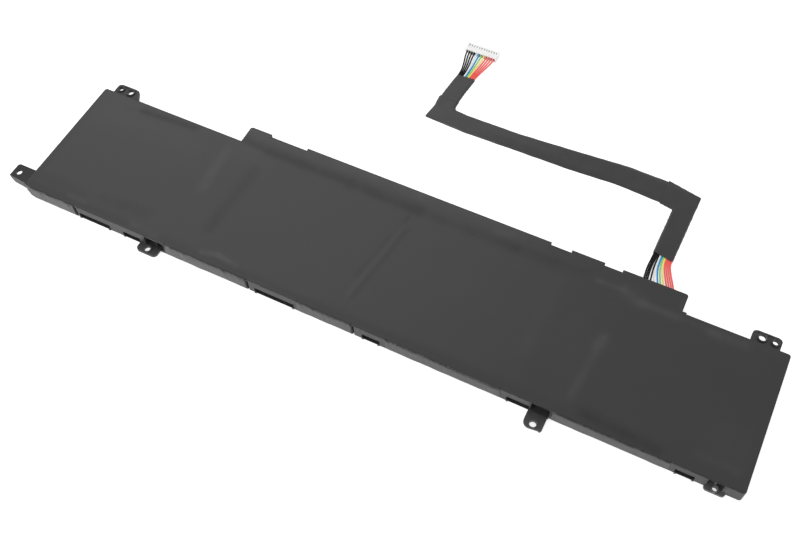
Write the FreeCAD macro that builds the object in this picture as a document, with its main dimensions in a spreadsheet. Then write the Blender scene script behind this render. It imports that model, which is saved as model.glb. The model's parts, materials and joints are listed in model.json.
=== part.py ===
import FreeCAD, Part
import math
import os
from types import SimpleNamespace

import Sketcher

# Flat battery pack for a laptop: four pouch cells in a moulded frame, with a board bay
# along the back, a film over the top and a flat wire harness that ends in a plug.
# All lengths are millimetres. Places are measured from the front left bottom corner of
# the frame: x to the right, y to the back, z up. The last step moves every piece so
# that the pack stands centred on the origin.

SIZES = {
    # Pouch cells and the spaces between them, from left to right
    "cell_length": 67.0,
    "cell_width": 57.4,
    "cell_height": 6.6,
    "cell_edge_round": 1.4,
    "cell_fit": 0.3,
    "gap_left": 18.0,
    "gap_middle": 6.0,
    "gap_right": 25.0,
    # Sealed lip of a cell and its two tabs
    "lip_length": 4.0,
    "lip_thickness": 0.4,
    "lip_side_inset": 2.0,
    "tab_offset": 14.0,
    "tab_width": 5.0,
    "tab_thickness": 0.2,
    # Moulded frame
    "side_wall": 1.2,
    "front_rail": 3.0,
    "back_wall": 1.0,
    "wall_height": 6.6,
    "floor": 0.8,
    "rib_wall": 1.0,
    "corner_round": 1.1,
    "corner_cut_length": 3.8,
    "corner_cut_depth": 0.7,
    "corner_relief": 1.3,
    "corner_relief_depth": 2.6,
    # How far a cut or a root runs past the face that it opens or joins
    "run_past": 0.5,
    # Bay for the circuit board behind the cells
    "bay_reach": 9.0,
    "bay_left_inset": 4.6,
    "bay_right_run": 24.9,
    "bay_wall": 1.0,
    "notch_depth": 1.3,
    "notch_1_start": 10.65,
    "notch_1_width": 18.45,
    "notch_2_start": 144.6,
    "notch_2_width": 9.05,
    "notch_3_start": 168.05,
    "notch_3_width": 7.75,
    "cable_notch_from_right": 19.95,
    "cable_notch_width": 14.8,
    "cable_notch_sill": 1.8,
    "lug_width": 1.8,
    "lug_reach": 2.8,
    "lug_height": 3.5,
    # Circuit board on its ribs
    "board_thickness": 0.8,
    "board_rib_height": 1.5,
    "board_rib_width": 1.0,
    "board_rib_inset": 6.0,
    "board_rib_count": 8,
    "board_fit": 0.3,
    # Strips that join the tabs to the board
    "strip_width": 1.8,
    "strip_thickness": 0.2,
    "strip_pitch_left": 2.6,
    "strip_pitch_right": 6.4,
    "strip_shift_left": 0.55,
    "strip_on_board": 2.6,
    "passage_side": 0.6,
    "rail_width": 3.0,
    # Rear ears: each has a locating hole and a screw hole, placed from its outer edge
    "rear_ear_reach": 6.0,
    "rear_ear_top": 5.5,
    "rear_ear_thickness": 1.5,
    "rear_ear_round": 1.5,
    "left_ear_inset": 3.4,
    "left_ear_base": 14.2,
    "left_ear_tip": 10.8,
    "right_ear_inset": 4.25,
    "right_ear_width": 11.75,
    "rear_hole_y": 3.5,
    "locating_hole_x": 2.45,
    "locating_hole_radius": 1.25,
    "screw_hole_x": 7.65,
    "screw_hole_radius": 1.55,
    "rim_height": 0.25,
    "rim_width": 0.7,
    "collar_width": 0.6,
    "collar_height": 0.5,
    # Side ear at the front left corner: a plate with a skirt under its front edge
    "side_ear_reach": 9.25,
    "side_ear_front": 1.25,
    "side_ear_tip_front": 2.1,
    "side_ear_back": 9.0,
    "side_ear_thickness": 1.6,
    "side_ear_round": 1.3,
    "side_ear_skirt_height": 4.3,
    "side_ear_skirt_wall": 1.2,
    "side_ear_skirt_lean": 1.5,
    "side_hole_x": 6.5,
    "side_hole_y": 5.2,
    "side_hole_radius": 1.45,
    # Three low ears along the front, each under a recess in the rail
    "front_ear_thickness": 1.2,
    "recess_depth": 2.2,
    "recess_rib": 0.8,
    "ear_2_width": 9.8,
    "ear_2_reach": 4.05,
    "ear_2_hole_x": 4.7,
    "ear_2_hole_y": 1.9,
    "ear_2_hole_radius": 1.35,
    "ear_2_rim_width": 0.75,
    "ear_2_rim_height": 0.3,
    "ear_2_round": 1.8,
    "recess_2_start": 2.9,
    "recess_2_width": 9.4,
    "ear_3_width": 7.9,
    "ear_3_reach": 7.45,
    "ear_3_slant": 0.85,
    "ear_3_hole_x": 3.9,
    "ear_3_hole_y": 5.2,
    "ear_3_hole_radius": 1.4,
    "ear_3_rim_width": 0.7,
    "ear_3_rim_height": 0.3,
    "ear_3_round_left": 2.6,
    "ear_3_round_right": 0.4,
    "ear_3_nub_width": 0.7,
    "ear_3_nub_reach": 0.4,
    "ear_3_ledge_y": 1.1,
    "ear_3_ledge_depth": 0.4,
    "recess_3_start": 0.8,
    "recess_3_width": 7.5,
    "ear_4_width": 8.1,
    "ear_4_reach": 1.75,
    "ear_4_hole_x": 4.0,
    "ear_4_hole_y": 0.3,
    "ear_4_hole_radius": 1.05,
    "ear_4_rim_width": 0.4,
    "ear_4_rim_height": 0.9,
    "ear_4_round": 1.3,
    "recess_4_start": 0.5,
    "recess_4_width": 6.0,
    # Slots in the front rail over a thin sill, with a nub at each free end
    "slot_depth": 2.0,
    "slot_height": 3.3,
    "slot_sill": 0.3,
    "slot_1_width": 15.75,
    "slot_2_width": 8.75,
    "slot_3_width": 18.4,
    "slot_4_width": 7.85,
    "slot_5_width": 9.4,
    "slot_6_width": 7.5,
    "nub_width": 0.8,
    "nub_reach": 0.4,
    "nub_height": 1.2,
    # Places along the front: how far each one lies from the end of a cell
    "slot_1_into_cell_1": 26.75,
    "slot_2_before_gap": 17.55,
    "slot_3_into_cell_2": 29.45,
    "slot_4_into_cell_3": 6.0,
    "slot_5_into_gap": 1.3,
    "slot_6_from_right": 25.3,
    "ear_2_before_gap": 8.9,
    "ear_3_into_gap": 10.6,
    "ear_4_from_right": 14.0,
    "groove_1_into_cell_1": 25.3,
    "groove_2_into_cell_2": 26.1,
    "groove_3_into_cell_3": 1.85,
    "flap_to_groove": 0.4,
    "flap_2_into_gap": 4.1,
    "flap_3_before_gap": 17.4,
    "flap_4_into_cell_3": 16.7,
    "flap_4_before_gap": 1.3,
    "flap_5_before_cell_4": 5.6,
    "flap_5_from_right": 27.6,
    # Upright grooves in the rail where a flap of the film ends
    "groove_width": 0.7,
    "groove_depth": 0.7,
    # Film over the top, raised over each cell, and its flaps down the front
    "film_thickness": 0.2,
    "film_slope": 1.0,
    "film_slope_rise": 0.2,
    "flap_bottom": 0.4,
    # Film under the cells and the tape that holds each cell to it
    "base_film_thickness": 0.15,
    "base_film_inset": 0.6,
    "base_film_front": 2.3,
    "base_film_back": 0.4,
    "base_film_fit": 0.1,
    "cell_tape_thickness": 0.15,
    "cell_tape_inset": 3.0,
    # Insulating tape over the joined tabs
    "tab_cover_thickness": 0.08,
    "tab_cover_inset": 0.2,
    "tab_cover_margin": 3.0,
    # Parts on the board
    "power_switch_side": 3.3,
    "power_switch_height": 0.8,
    "gauge_side": 5.0,
    "gauge_height": 0.9,
    "guard_length": 3.0,
    "guard_width": 1.7,
    "guard_height": 1.1,
    "shunt_length": 6.3,
    "shunt_width": 3.2,
    "shunt_height": 0.6,
    "fuse_length": 5.4,
    "fuse_width": 3.2,
    "fuse_height": 1.3,
    "sensor_length": 1.6,
    "sensor_width": 0.8,
    "sensor_height": 0.7,
    "sensor_from_strips": 5.0,
    "shunt_from_strips": 15.0,
    "power_switch_from_strips": 30.0,
    "power_switch_pitch": 5.0,
    "fuse_from_strips": 45.0,
    "gauge_before_strips": 25.0,
    "guard_before_strips": 15.0,
    # Wires, their joints on the board and the flat wrap round them
    "wire_count": 12,
    "wire_radius": 0.325,
    "wire_pitch": 0.7,
    "wire_joint_pitch": 1.15,
    "wire_joint_inset": 1.1,
    "wire_joint_width": 0.8,
    "wire_joint_length": 1.2,
    "wire_joint_height": 0.75,
    "wire_over_board": 0.4,
    "wire_joint_from_back": 5.3,
    "wrap_height": 0.9,
    "wrap_skin": 0.1,
    "wrap_side_room": 0.5,
    # Plug
    "plug_length": 16.0,
    "plug_depth": 4.6,
    "plug_height": 2.6,
    "plug_pitch": 1.25,
    "cavity_width": 0.95,
    "cavity_height": 1.5,
    "cavity_floor": 0.55,
    "window_width": 0.5,
    "window_length": 1.1,
    "window_from_mouth": 0.8,
    "contact_width": 0.75,
    "contact_length": 3.3,
    "contact_height": 1.1,
    "contact_from_back": 1.0,
    "key_width": 0.6,
    "key_length": 2.6,
    "key_height": 0.5,
}


class Size:
    """A length with the sheet formula that gives it, so that both follow one sum."""

    def __init__(self, value, formula=None):
        self.value = float(value)
        self.formula = formula or repr(self.value)

    def _with(self, other, sign, turned=False):
        other = other if isinstance(other, Size) else Size(other)
        first, second = (other, self) if turned else (self, other)
        value = {
            "+": lambda a, b: a + b,
            "-": lambda a, b: a - b,
            "*": lambda a, b: a * b,
            "/": lambda a, b: a / b,
        }[sign](first.value, second.value)
        return Size(value, f"({first.formula} {sign} {second.formula})")

    def __add__(self, other):
        return self._with(other, "+")

    def __radd__(self, other):
        return self._with(other, "+", turned=True)

    def __sub__(self, other):
        return self._with(other, "-")

    def __rsub__(self, other):
        return self._with(other, "-", turned=True)

    def __mul__(self, other):
        return self._with(other, "*")

    def __rmul__(self, other):
        return self._with(other, "*", turned=True)

    def __truediv__(self, other):
        return self._with(other, "/")

    def __neg__(self):
        return 0.0 - self


def make_sheet(doc):
    """Write every size to the sheet, its name beside it."""
    sheet = doc.addObject("Spreadsheet::Sheet", "sizes")
    for row, (name, value) in enumerate(SIZES.items(), 1):
        sheet.set(f"A{row}", name)
        sheet.set(f"B{row}", str(value))
        sheet.setAlias(f"B{row}", name)
    doc.recompute()
    return sheet


doc = FreeCAD.newDocument("laptop_battery")
make_sheet(doc)
s = SimpleNamespace(**{name: Size(value, "sizes." + name) for name, value in SIZES.items()})
NODES = []

# Places worked out from the sizes

cell_starts = [s.side_wall + s.cell_fit]
for gap in (s.gap_left, s.gap_middle, s.gap_right):
    cell_starts.append(cell_starts[-1] + s.cell_length + gap)
cell_ends = [start + s.cell_length for start in cell_starts]
cell_front = s.front_rail + s.cell_fit
cell_back = cell_front + s.cell_width
cell_base = s.base_film_thickness + s.cell_tape_thickness
cell_top = cell_base + s.cell_height
cell_middle_y = cell_front + s.cell_width / 2

frame_length = cell_ends[3] + s.cell_fit + s.side_wall
frame_depth = cell_back + s.cell_fit + s.back_wall
window_front = s.front_rail
window_back = frame_depth - s.back_wall

bay_left = cell_ends[0] + s.bay_left_inset
bay_right = cell_starts[3] + s.bay_right_run
bay_back = frame_depth + s.bay_reach
notches = [
    (bay_left + s.notch_1_start, s.notch_1_width),
    (bay_left + s.notch_2_start, s.notch_2_width),
    (bay_left + s.notch_3_start, s.notch_3_width),
]
cable_left = bay_right - s.cable_notch_from_right
cable_right = cable_left + s.cable_notch_width

board_bottom = s.floor + s.board_rib_height
board_top = board_bottom + s.board_thickness
board_left = bay_left + s.bay_wall + s.board_fit
board_right = bay_right - s.bay_wall - s.board_fit
board_front = frame_depth + s.board_fit
board_back = bay_back - s.notch_depth - s.bay_wall - s.board_fit

lip_bottom = cell_base + s.cell_height / 2 - s.lip_thickness
tab_bottom = board_top + s.strip_thickness
tab_rows = [cell_middle_y - s.tab_offset, cell_middle_y + s.tab_offset]

film_bottom = s.wall_height
film_top = film_bottom + s.film_thickness

side_ear_bottom = s.wall_height - s.side_ear_thickness
side_ear_skirt_bottom = s.wall_height - s.side_ear_skirt_height
rear_ear_bottom = s.rear_ear_top - s.rear_ear_thickness

slots = [
    (cell_starts[0] + s.slot_1_into_cell_1, s.slot_1_width),
    (cell_ends[0] - s.slot_2_before_gap, s.slot_2_width),
    (cell_starts[1] + s.slot_3_into_cell_2, s.slot_3_width),
    (cell_starts[2] + s.slot_4_into_cell_3, s.slot_4_width),
    (cell_ends[2] + s.slot_5_into_gap, s.slot_5_width),
    (frame_length - s.slot_6_from_right, s.slot_6_width),
]
ear_starts = {
    2: cell_ends[0] - s.ear_2_before_gap,
    3: cell_ends[2] + s.ear_3_into_gap,
    4: frame_length - s.ear_4_from_right,
}
grooves = [
    cell_starts[0] + s.groove_1_into_cell_1,
    cell_starts[1] + s.groove_2_into_cell_2,
    cell_starts[2] + s.groove_3_into_cell_3,
]
flaps = [
    (s.corner_cut_length, grooves[0] - s.flap_to_groove),
    (cell_ends[0] + s.flap_2_into_gap, grooves[1] - s.flap_to_groove),
    (cell_ends[1] - s.flap_3_before_gap, grooves[2] - s.flap_to_groove),
    (cell_starts[2] + s.flap_4_into_cell_3, cell_ends[2] - s.flap_4_before_gap),
    (cell_starts[3] - s.flap_5_before_cell_4, frame_length - s.flap_5_from_right),
]

origin_x = (frame_length - s.side_ear_reach) / 2
origin_y = (bay_back - s.ear_3_reach) / 2


# Helpers for sketches, pads and pockets


def bind(thing, prop, size):
    """Tie a property to the sheet."""
    size = size if isinstance(size, Size) else Size(size)
    thing.setExpression(prop, size.formula)


def place(thing, x=0.0, y=0.0, z=0.0):
    """Put a finished piece where it belongs in the pack's own axes."""
    bind(thing, "Placement.Base.x", x - origin_x)
    bind(thing, "Placement.Base.y", y - origin_y)
    bind(thing, "Placement.Base.z", z)


def node(thing, name):
    """Name a finished piece and keep it for the last checks."""
    thing.Label = name
    NODES.append(thing)
    return thing


def new_body(name):
    return doc.addObject("PartDesign::Body", name + "_body")


def origin_plane(body, role):
    return next(plane for plane in body.Origin.OriginFeatures if plane.Role == role)


def sketch(body, name, outlines=(), circles=(), level=0.0, plane="XY_Plane"):
    """Closed outlines through corner points, and circles, each tied to the sheet."""
    drawing = body.newObject("Sketcher::SketchObject", name + "_sketch")
    drawing.AttachmentSupport = [(origin_plane(body, plane), "")]
    drawing.MapMode = "FlatFace"
    bind(drawing, "AttachmentOffset.Base.z", level)
    for corners in outlines:
        corners = [[c if isinstance(c, Size) else Size(c) for c in corner] for corner in corners]
        first = drawing.GeometryCount
        for start, end in zip(corners, corners[1:] + corners[:1]):
            ends = [FreeCAD.Vector(point[0].value, point[1].value, 0) for point in (start, end)]
            drawing.addGeometry(Part.LineSegment(*ends))
        count = len(corners)
        for index in range(count):
            line, after = first + index, first + (index + 1) % count
            drawing.addConstraint(Sketcher.Constraint("Coincident", line, 2, after, 1))
        for index, corner in enumerate(corners):
            fix_point(drawing, first + index, 1, corner)
    for x, y, radius in circles:
        x, y = (c if isinstance(c, Size) else Size(c) for c in (x, y))
        centre = FreeCAD.Vector(x.value, y.value, 0)
        circle = drawing.addGeometry(Part.Circle(centre, FreeCAD.Vector(0, 0, 1), radius.value))
        fix_point(drawing, circle, 3, (x, y))
        limit = drawing.addConstraint(Sketcher.Constraint("Radius", circle, radius.value))
        bind(drawing, f"Constraints[{limit}]", radius)
    return drawing


def fix_point(drawing, geometry, end, corner):
    """Hold one point of a sketch at its distances from the origin."""
    for kind, size in zip(("DistanceX", "DistanceY"), corner):
        limit = drawing.addConstraint(Sketcher.Constraint(kind, -1, 1, geometry, end, size.value))
        bind(drawing, f"Constraints[{limit}]", size)


def pad(body, name, outlines=(), height=1.0, level=0.0, circles=()):
    feature = body.newObject("PartDesign::Pad", name)
    feature.Profile = sketch(body, name, outlines, circles, level)
    bind(feature, "Length", height)
    return feature


def pocket(body, name, outlines=(), depth=1.0, level=0.0, circles=(), plane="XY_Plane"):
    """Cut down from a level, or inwards from the front where the plane is upright."""
    feature = body.newObject("PartDesign::Pocket", name)
    feature.Profile = sketch(body, name, outlines, circles, level, plane)
    bind(feature, "Length", depth)
    return feature


def rectangle(x_start, y_start, width, depth):
    x_end, y_end = x_start + width, y_start + depth
    return [(x_start, y_start), (x_end, y_start), (x_end, y_end), (x_start, y_end)]


def round_uprights(body, name, base, corners, radius):
    """Round the upright edges of a feature that stand on the given corners."""
    doc.recompute()
    names = []
    for number, edge in enumerate(base.Shape.Edges, 1):
        ends = [vertex.Point for vertex in edge.Vertexes]
        for x, y in corners:
            x, y = (c.value if isinstance(c, Size) else c for c in (x, y))
            if all(math.hypot(end.x - x, end.y - y) < 0.01 for end in ends):
                names.append(f"Edge{number}")
    feature = body.newObject("PartDesign::Fillet", name)
    feature.Base = (base, names)
    bind(feature, "Radius", radius)
    doc.recompute()
    return feature


def repeat_along_x(body, name, original, spacing, count):
    """Copy a feature to the right, count times in all."""
    feature = body.newObject("PartDesign::LinearPattern", name)
    feature.Originals = [original]
    feature.Direction = (original.Profile[0], ["H_Axis"])
    bind(feature, "Length", spacing * (count - 1))
    bind(feature, "Occurrences", count)
    body.Tip = feature
    return feature


def block(name, corner, size):
    """A plain box with its lowest corner and its three sides tied to the sheet."""
    box = doc.addObject("Part::Box", name + "_box")
    for prop, side in zip(("Length", "Width", "Height"), size):
        bind(box, prop, side)
    place(box, *corner)
    return box


# Outline of the frame and the film, seen from above


def bay_back_edge(inset):
    """Back edge of the bay from right to left, stepping in round each notch."""
    points = []
    for start, width in reversed(notches):
        right, left = start + width + inset, start - inset
        outer, inner = bay_back - inset, bay_back - s.notch_depth - inset
        points += [(right, outer), (right, inner), (left, inner), (left, outer)]
    return points


def plan_outline():
    """Front left corner first, then anticlockwise."""
    return (
        [(s.corner_cut_length, 0.0), (frame_length, 0.0), (frame_length, frame_depth)]
        + [(bay_right, frame_depth), (bay_right, bay_back)]
        + bay_back_edge(0.0)
        + [(bay_left, bay_back), (bay_left, frame_depth)]
        + [(0.0, frame_depth), (0.0, s.corner_cut_depth)]
    )


def round_plan(body, base):
    """The rounded outer corners that frame and film share."""
    corners = [(frame_length, 0.0), (frame_length, frame_depth), (0.0, frame_depth)]
    corners += [(bay_right, bay_back), (bay_left, bay_back)]
    return round_uprights(body, "outer_corners", base, corners, s.corner_round)


# Moulded frame


def add_rear_ears(body):
    """Two ears behind the ends of the frame, with a rim along the back and a collar
    round each hole; the inner side of the left one slopes."""
    root = frame_depth - s.back_wall / 2
    tip = frame_depth + s.rear_ear_reach
    left = s.left_ear_inset
    left_end, left_root = left + s.left_ear_tip, left + s.left_ear_base
    right = frame_length - s.right_ear_inset
    right_start = right - s.right_ear_width
    outlines = [
        [(left, root), (left_root, root), (left_root, frame_depth), (left_end, tip), (left, tip)],
        rectangle(right_start, root, s.right_ear_width, tip - root),
    ]
    ears = pad(body, "rear_ears", outlines, s.rear_ear_thickness, rear_ear_bottom)
    corners = [(left, tip), (left_end, tip), (right_start, tip), (right, tip)]
    round_uprights(body, "rear_ear_corners", ears, corners, s.rear_ear_round)
    rims = []
    for start, width in ((left, s.left_ear_tip), (right_start, s.right_ear_width)):
        rim_start, rim_width = start + s.rear_ear_round, width - 2 * s.rear_ear_round
        rims.append(rectangle(rim_start, tip - s.rim_width, rim_width, s.rim_width))
    pad(body, "rear_ear_rims", rims, s.rim_height, s.rear_ear_top)
    hole_y = frame_depth + s.rear_hole_y
    collars, holes = [], []
    for from_edge, radius in (
        (s.locating_hole_x, s.locating_hole_radius),
        (s.screw_hole_x, s.screw_hole_radius),
    ):
        for x in (left + from_edge, right - from_edge):
            collars.append((x, hole_y, radius + s.collar_width))
            holes.append((x, hole_y, radius))
    pad(body, "rear_collars", height=s.collar_height, level=s.rear_ear_top, circles=collars)
    top = s.rear_ear_top + s.collar_height
    pocket(body, "rear_holes", depth=top - rear_ear_bottom, level=top, circles=holes)


def add_side_ear(body):
    """Plate at the front left corner with a skirt under its front edge that slopes up at
    the tip; the corner of the frame slopes away below it."""
    tip = -s.side_ear_reach
    root = s.side_wall / 2
    front, tip_front = s.side_ear_front, s.side_ear_tip_front
    wall = s.side_ear_skirt_wall
    strip = [(tip, tip_front), (root, front), (root, front + wall), (tip, tip_front + wall)]
    pad(body, "side_ear_skirt", [strip], s.side_ear_skirt_height, side_ear_skirt_bottom)
    slope = [
        (tip - s.run_past, side_ear_skirt_bottom),
        (tip + s.side_ear_skirt_lean, side_ear_skirt_bottom),
        (tip, side_ear_bottom),
        (tip - s.run_past, side_ear_bottom),
    ]
    slope_depth = tip_front + wall + s.run_past
    pocket(body, "side_ear_slope", [slope], slope_depth, plane="XZ_Plane")
    back = s.side_ear_back
    outline = [(tip, tip_front), (root, front), (root, back), (tip, back)]
    plate = pad(body, "side_ear", [outline], s.side_ear_thickness, side_ear_bottom)
    round_uprights(body, "side_ear_corner", plate, [(tip, back)], s.side_ear_round)
    hole = [(-s.side_hole_x, s.side_hole_y, s.side_hole_radius)]
    pocket(body, "side_hole", depth=s.side_ear_thickness, level=s.wall_height, circles=hole)
    relief = [(0.0, 0.0), (s.corner_relief, 0.0), (0.0, side_ear_skirt_bottom)]
    pocket(body, "corner_relief", [relief], s.corner_relief_depth, plane="XZ_Plane")


def ear_size(number, word):
    """One size of a front ear."""
    return getattr(s, f"ear_{number}_{word}")


def add_front_ear(body, number, rounds, slant, ribbed):
    """Low ear at the front and the recess over it; the right side may reach less far."""
    start, width, reach = ear_starts[number], ear_size(number, "width"), ear_size(number, "reach")
    end = start + width
    outline = [(start, -reach), (end, slant - reach), (end, s.recess_depth), (start, s.recess_depth)]
    ear = pad(body, f"ear_{number}", [outline], s.front_ear_thickness)
    for side, (corner, radius) in enumerate(zip(outline[:2], rounds)):
        ear = round_uprights(body, f"ear_{number}_corner_{side}", ear, [corner], radius)
    recess_start = start + getattr(s, f"recess_{number}_start")
    recess_width = getattr(s, f"recess_{number}_width")
    front = -reach - s.run_past
    recess = rectangle(recess_start, front, recess_width, s.recess_depth - front)
    depth = s.wall_height - s.front_ear_thickness
    pocket(body, f"recess_{number}", [recess], depth, s.wall_height)
    if ribbed:
        rib_start = recess_start + recess_width / 2 - s.recess_rib / 2
        rib_front = s.recess_depth / 2
        rib_depth = s.recess_depth + s.run_past - rib_front
        rib = rectangle(rib_start, rib_front, s.recess_rib, rib_depth)
        pad(body, f"recess_rib_{number}", [rib], depth, s.front_ear_thickness)


def add_front_ear_trim(body):
    """Rims round the ear holes, ledge and nub of the longest ear, and the holes."""
    top = s.front_ear_thickness
    for number, start in ear_starts.items():
        x, y = start + ear_size(number, "hole_x"), -ear_size(number, "hole_y")
        radius, rim_height = ear_size(number, "hole_radius"), ear_size(number, "rim_height")
        rim = [(x, y, radius + ear_size(number, "rim_width"))]
        pad(body, f"ear_{number}_rim", height=rim_height, level=top, circles=rim)
        level = top + rim_height
        hole = [(x, y, radius)]
        pocket(body, f"ear_{number}_hole", depth=level, level=level, circles=hole)
    ledge = rectangle(
        ear_starts[3] + s.recess_3_start, -s.ear_3_ledge_y, s.recess_3_width, s.ear_3_ledge_depth
    )
    pad(body, "ear_3_ledge", [ledge], s.ear_3_rim_height, top)
    nub_start = ear_starts[3] + s.ear_3_width - s.ear_3_round_right - s.ear_3_nub_width
    nub_front = s.ear_3_slant - s.ear_3_reach - s.ear_3_nub_reach
    nub = rectangle(nub_start, nub_front, s.ear_3_nub_width, 2 * s.ear_3_nub_reach)
    pad(body, "ear_3_nub", [nub], top)


def add_front_slots(body):
    """Snap slots in the rail, a nub at each free end, and the film grooves."""
    opening_height = s.slot_height - s.slot_sill
    openings = [rectangle(start, s.slot_sill, width, opening_height) for start, width in slots]
    pocket(body, "front_slots", openings, s.slot_depth, plane="XZ_Plane")
    nub_starts = [start for start, width in slots]
    # An ear stands at the right end of the second and the fifth slot.
    nub_starts += [slots[number][0] + slots[number][1] - s.nub_width for number in (0, 2, 3, 5)]
    nubs = [rectangle(x, -s.nub_reach, s.nub_width, 2 * s.nub_reach) for x in nub_starts]
    pad(body, "slot_nubs", nubs, s.nub_height)
    outlines = [rectangle(start, 0.0, s.groove_width, s.wall_height) for start in grooves]
    pocket(body, "film_grooves", outlines, s.groove_depth, plane="XZ_Plane")


def add_cell_space(body):
    """Openings for the cells, wells for their tabs and the hollow middle rib."""
    depth = window_back - window_front
    windows = [
        rectangle(start - s.cell_fit, window_front, s.cell_length + 2 * s.cell_fit, depth)
        for start in cell_starts
    ]
    pocket(body, "cell_windows", windows, s.wall_height, s.wall_height)
    wells = []
    for left, right in ((0, 1), (2, 3)):
        start = cell_ends[left] + s.cell_fit / 2
        width = cell_starts[right] - s.cell_fit / 2 - start
        wells.append(rectangle(start, window_front, width, depth))
    start = cell_ends[1] + s.cell_fit + s.rib_wall
    width = cell_starts[2] - s.cell_fit - s.rib_wall - start
    wells.append(rectangle(start, window_front, width, depth))
    pocket(body, "tab_wells", wells, s.wall_height - s.floor, s.wall_height)
    rails = []
    for left, right in ((0, 1), (2, 3)):
        start = cell_ends[left] + s.cell_fit
        width = cell_starts[right] - s.cell_fit - start
        for row in tab_rows:
            rails.append(rectangle(start, row - s.rail_width / 2, width, s.rail_width))
    rail_root = s.floor / 2
    pad(body, "strip_rails", rails, board_top - rail_root, rail_root)


def strip_centres(gap):
    """The three strip lines of a tab gap, from left to right."""
    if gap == 0:
        middle = (cell_ends[0] + cell_starts[1]) / 2 + s.strip_shift_left
        pitch = s.strip_pitch_left
    else:
        middle = (cell_ends[2] + cell_starts[3]) / 2
        pitch = s.strip_pitch_right
    return [middle - pitch, middle, middle + pitch]


def add_bay(body):
    """Board bay with its ribs, the strip passages, the cable notch and the lug."""
    inner_left, inner_right = bay_left + s.bay_wall, bay_right - s.bay_wall
    inner_back = bay_back - s.bay_wall
    outline = [
        (inner_left, frame_depth),
        (inner_right, frame_depth),
        (inner_right, inner_back),
        *bay_back_edge(s.bay_wall),
        (inner_left, inner_back),
    ]
    pocket(body, "board_bay", [outline], s.wall_height - s.floor, s.wall_height)
    rib_root = s.floor / 2
    rib_start = inner_left + s.board_rib_inset
    rib_depth = board_back - frame_depth
    rib = rectangle(rib_start, frame_depth, s.board_rib_width, rib_depth)
    first = pad(body, "board_rib", [rib], board_bottom - rib_root, rib_root)
    doc.recompute()
    last_rib = inner_right - s.board_rib_inset - s.board_rib_width
    spacing = (last_rib - rib_start) / (s.board_rib_count - 1)
    repeat_along_x(body, "board_ribs", first, spacing, s.board_rib_count)
    doc.recompute()
    passages = []
    for gap in (0, 1):
        lines = strip_centres(gap)
        side = s.strip_width / 2 + s.passage_side
        start = lines[0] - side if gap else inner_left
        width = lines[2] + side - start
        front = window_back - s.run_past
        passages.append(rectangle(start, front, width, s.back_wall + 2 * s.run_past))
    pocket(body, "strip_passages", passages, s.wall_height - board_bottom, s.wall_height)
    cable_front = bay_back - s.bay_wall - s.run_past
    cable_depth = s.bay_wall + 2 * s.run_past
    cable = rectangle(cable_left, cable_front, s.cable_notch_width, cable_depth)
    pocket(body, "cable_notch", [cable], s.wall_height - s.cable_notch_sill, s.wall_height)
    lug_corner = (bay_right - s.run_past, frame_depth - s.run_past)
    lug = rectangle(*lug_corner, s.lug_width + s.run_past, s.lug_reach + s.run_past)
    pad(body, "bay_lug", [lug], s.lug_height)


def base_film_outline(inset):
    """Film under the cells, from the slots to the back wall."""
    side = s.base_film_inset + inset
    front = s.base_film_front + inset
    back = frame_depth - s.base_film_back - inset
    return rectangle(side, front, frame_length - 2 * side, back - front)


def make_frame():
    body = new_body("frame")
    shell = pad(body, "shell", [plan_outline()], s.wall_height)
    round_plan(body, shell)
    add_rear_ears(body)
    add_side_ear(body)
    add_front_ear(body, 2, (s.ear_2_round, s.ear_2_round), Size(0.0), ribbed=True)
    ear_3_rounds = (s.ear_3_round_left, s.ear_3_round_right)
    add_front_ear(body, 3, ear_3_rounds, s.ear_3_slant, ribbed=False)
    add_front_ear(body, 4, (s.ear_4_round, s.ear_4_round), Size(0.0), ribbed=True)
    add_front_ear_trim(body)
    film_bed = [base_film_outline(0.0)]
    pocket(body, "base_film_bed", film_bed, s.base_film_thickness, s.base_film_thickness)
    add_front_slots(body)
    add_cell_space(body)
    add_bay(body)
    place(body)
    return node(body, "frame")


# Films and tapes


def make_top_film():
    """Flat film on the walls, lifted over each cell, with flaps down the front."""
    body = new_body("top_film")
    sheet = pad(body, "flat_film", [plan_outline()], s.film_thickness, film_bottom)
    round_plan(body, sheet)
    rise = cell_top - film_bottom
    for kind, low, reach_low, reach_high in (
        ("Additive", film_top, s.film_slope + s.film_slope_rise, s.film_slope_rise),
        ("Subtractive", film_bottom, s.film_slope, Size(0.0)),
    ):
        for number, start in enumerate(cell_starts, 1):
            rings = []
            for word, level, reach in (("low", low, reach_low), ("high", low + rise, reach_high)):
                outline = rectangle(
                    start - reach,
                    cell_front - reach,
                    s.cell_length + 2 * reach,
                    s.cell_width + 2 * reach,
                )
                rings.append(sketch(body, f"{kind}_{number}_{word}", [outline], level=level))
            loft = body.newObject(f"PartDesign::{kind}Loft", f"{kind}_raise_{number}")
            loft.Profile = rings[0]
            loft.Sections = [rings[1]]
            loft.Ruled = True
            doc.recompute()
    outlines = [
        rectangle(start, -s.film_thickness, end - start, s.film_thickness) for start, end in flaps
    ]
    pad(body, "front_flaps", outlines, film_top - s.flap_bottom, s.flap_bottom)
    place(body)
    return node(body, "top_film")


def make_bottom_film():
    body = new_body("bottom_film")
    pad(body, "base_film", [base_film_outline(s.base_film_fit)], s.base_film_thickness)
    place(body)
    return node(body, "bottom_film")


def make_cell_tape(number):
    """Double-sided tape between a cell and the film under it."""
    inset = s.cell_tape_inset
    corner = (cell_starts[number - 1] + inset, cell_front + inset, s.base_film_thickness)
    size = (s.cell_length - 2 * inset, s.cell_width - 2 * inset, s.cell_tape_thickness)
    return node(block(f"cell_tape_{number}", corner, size), f"cell_tape_{number}")


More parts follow.
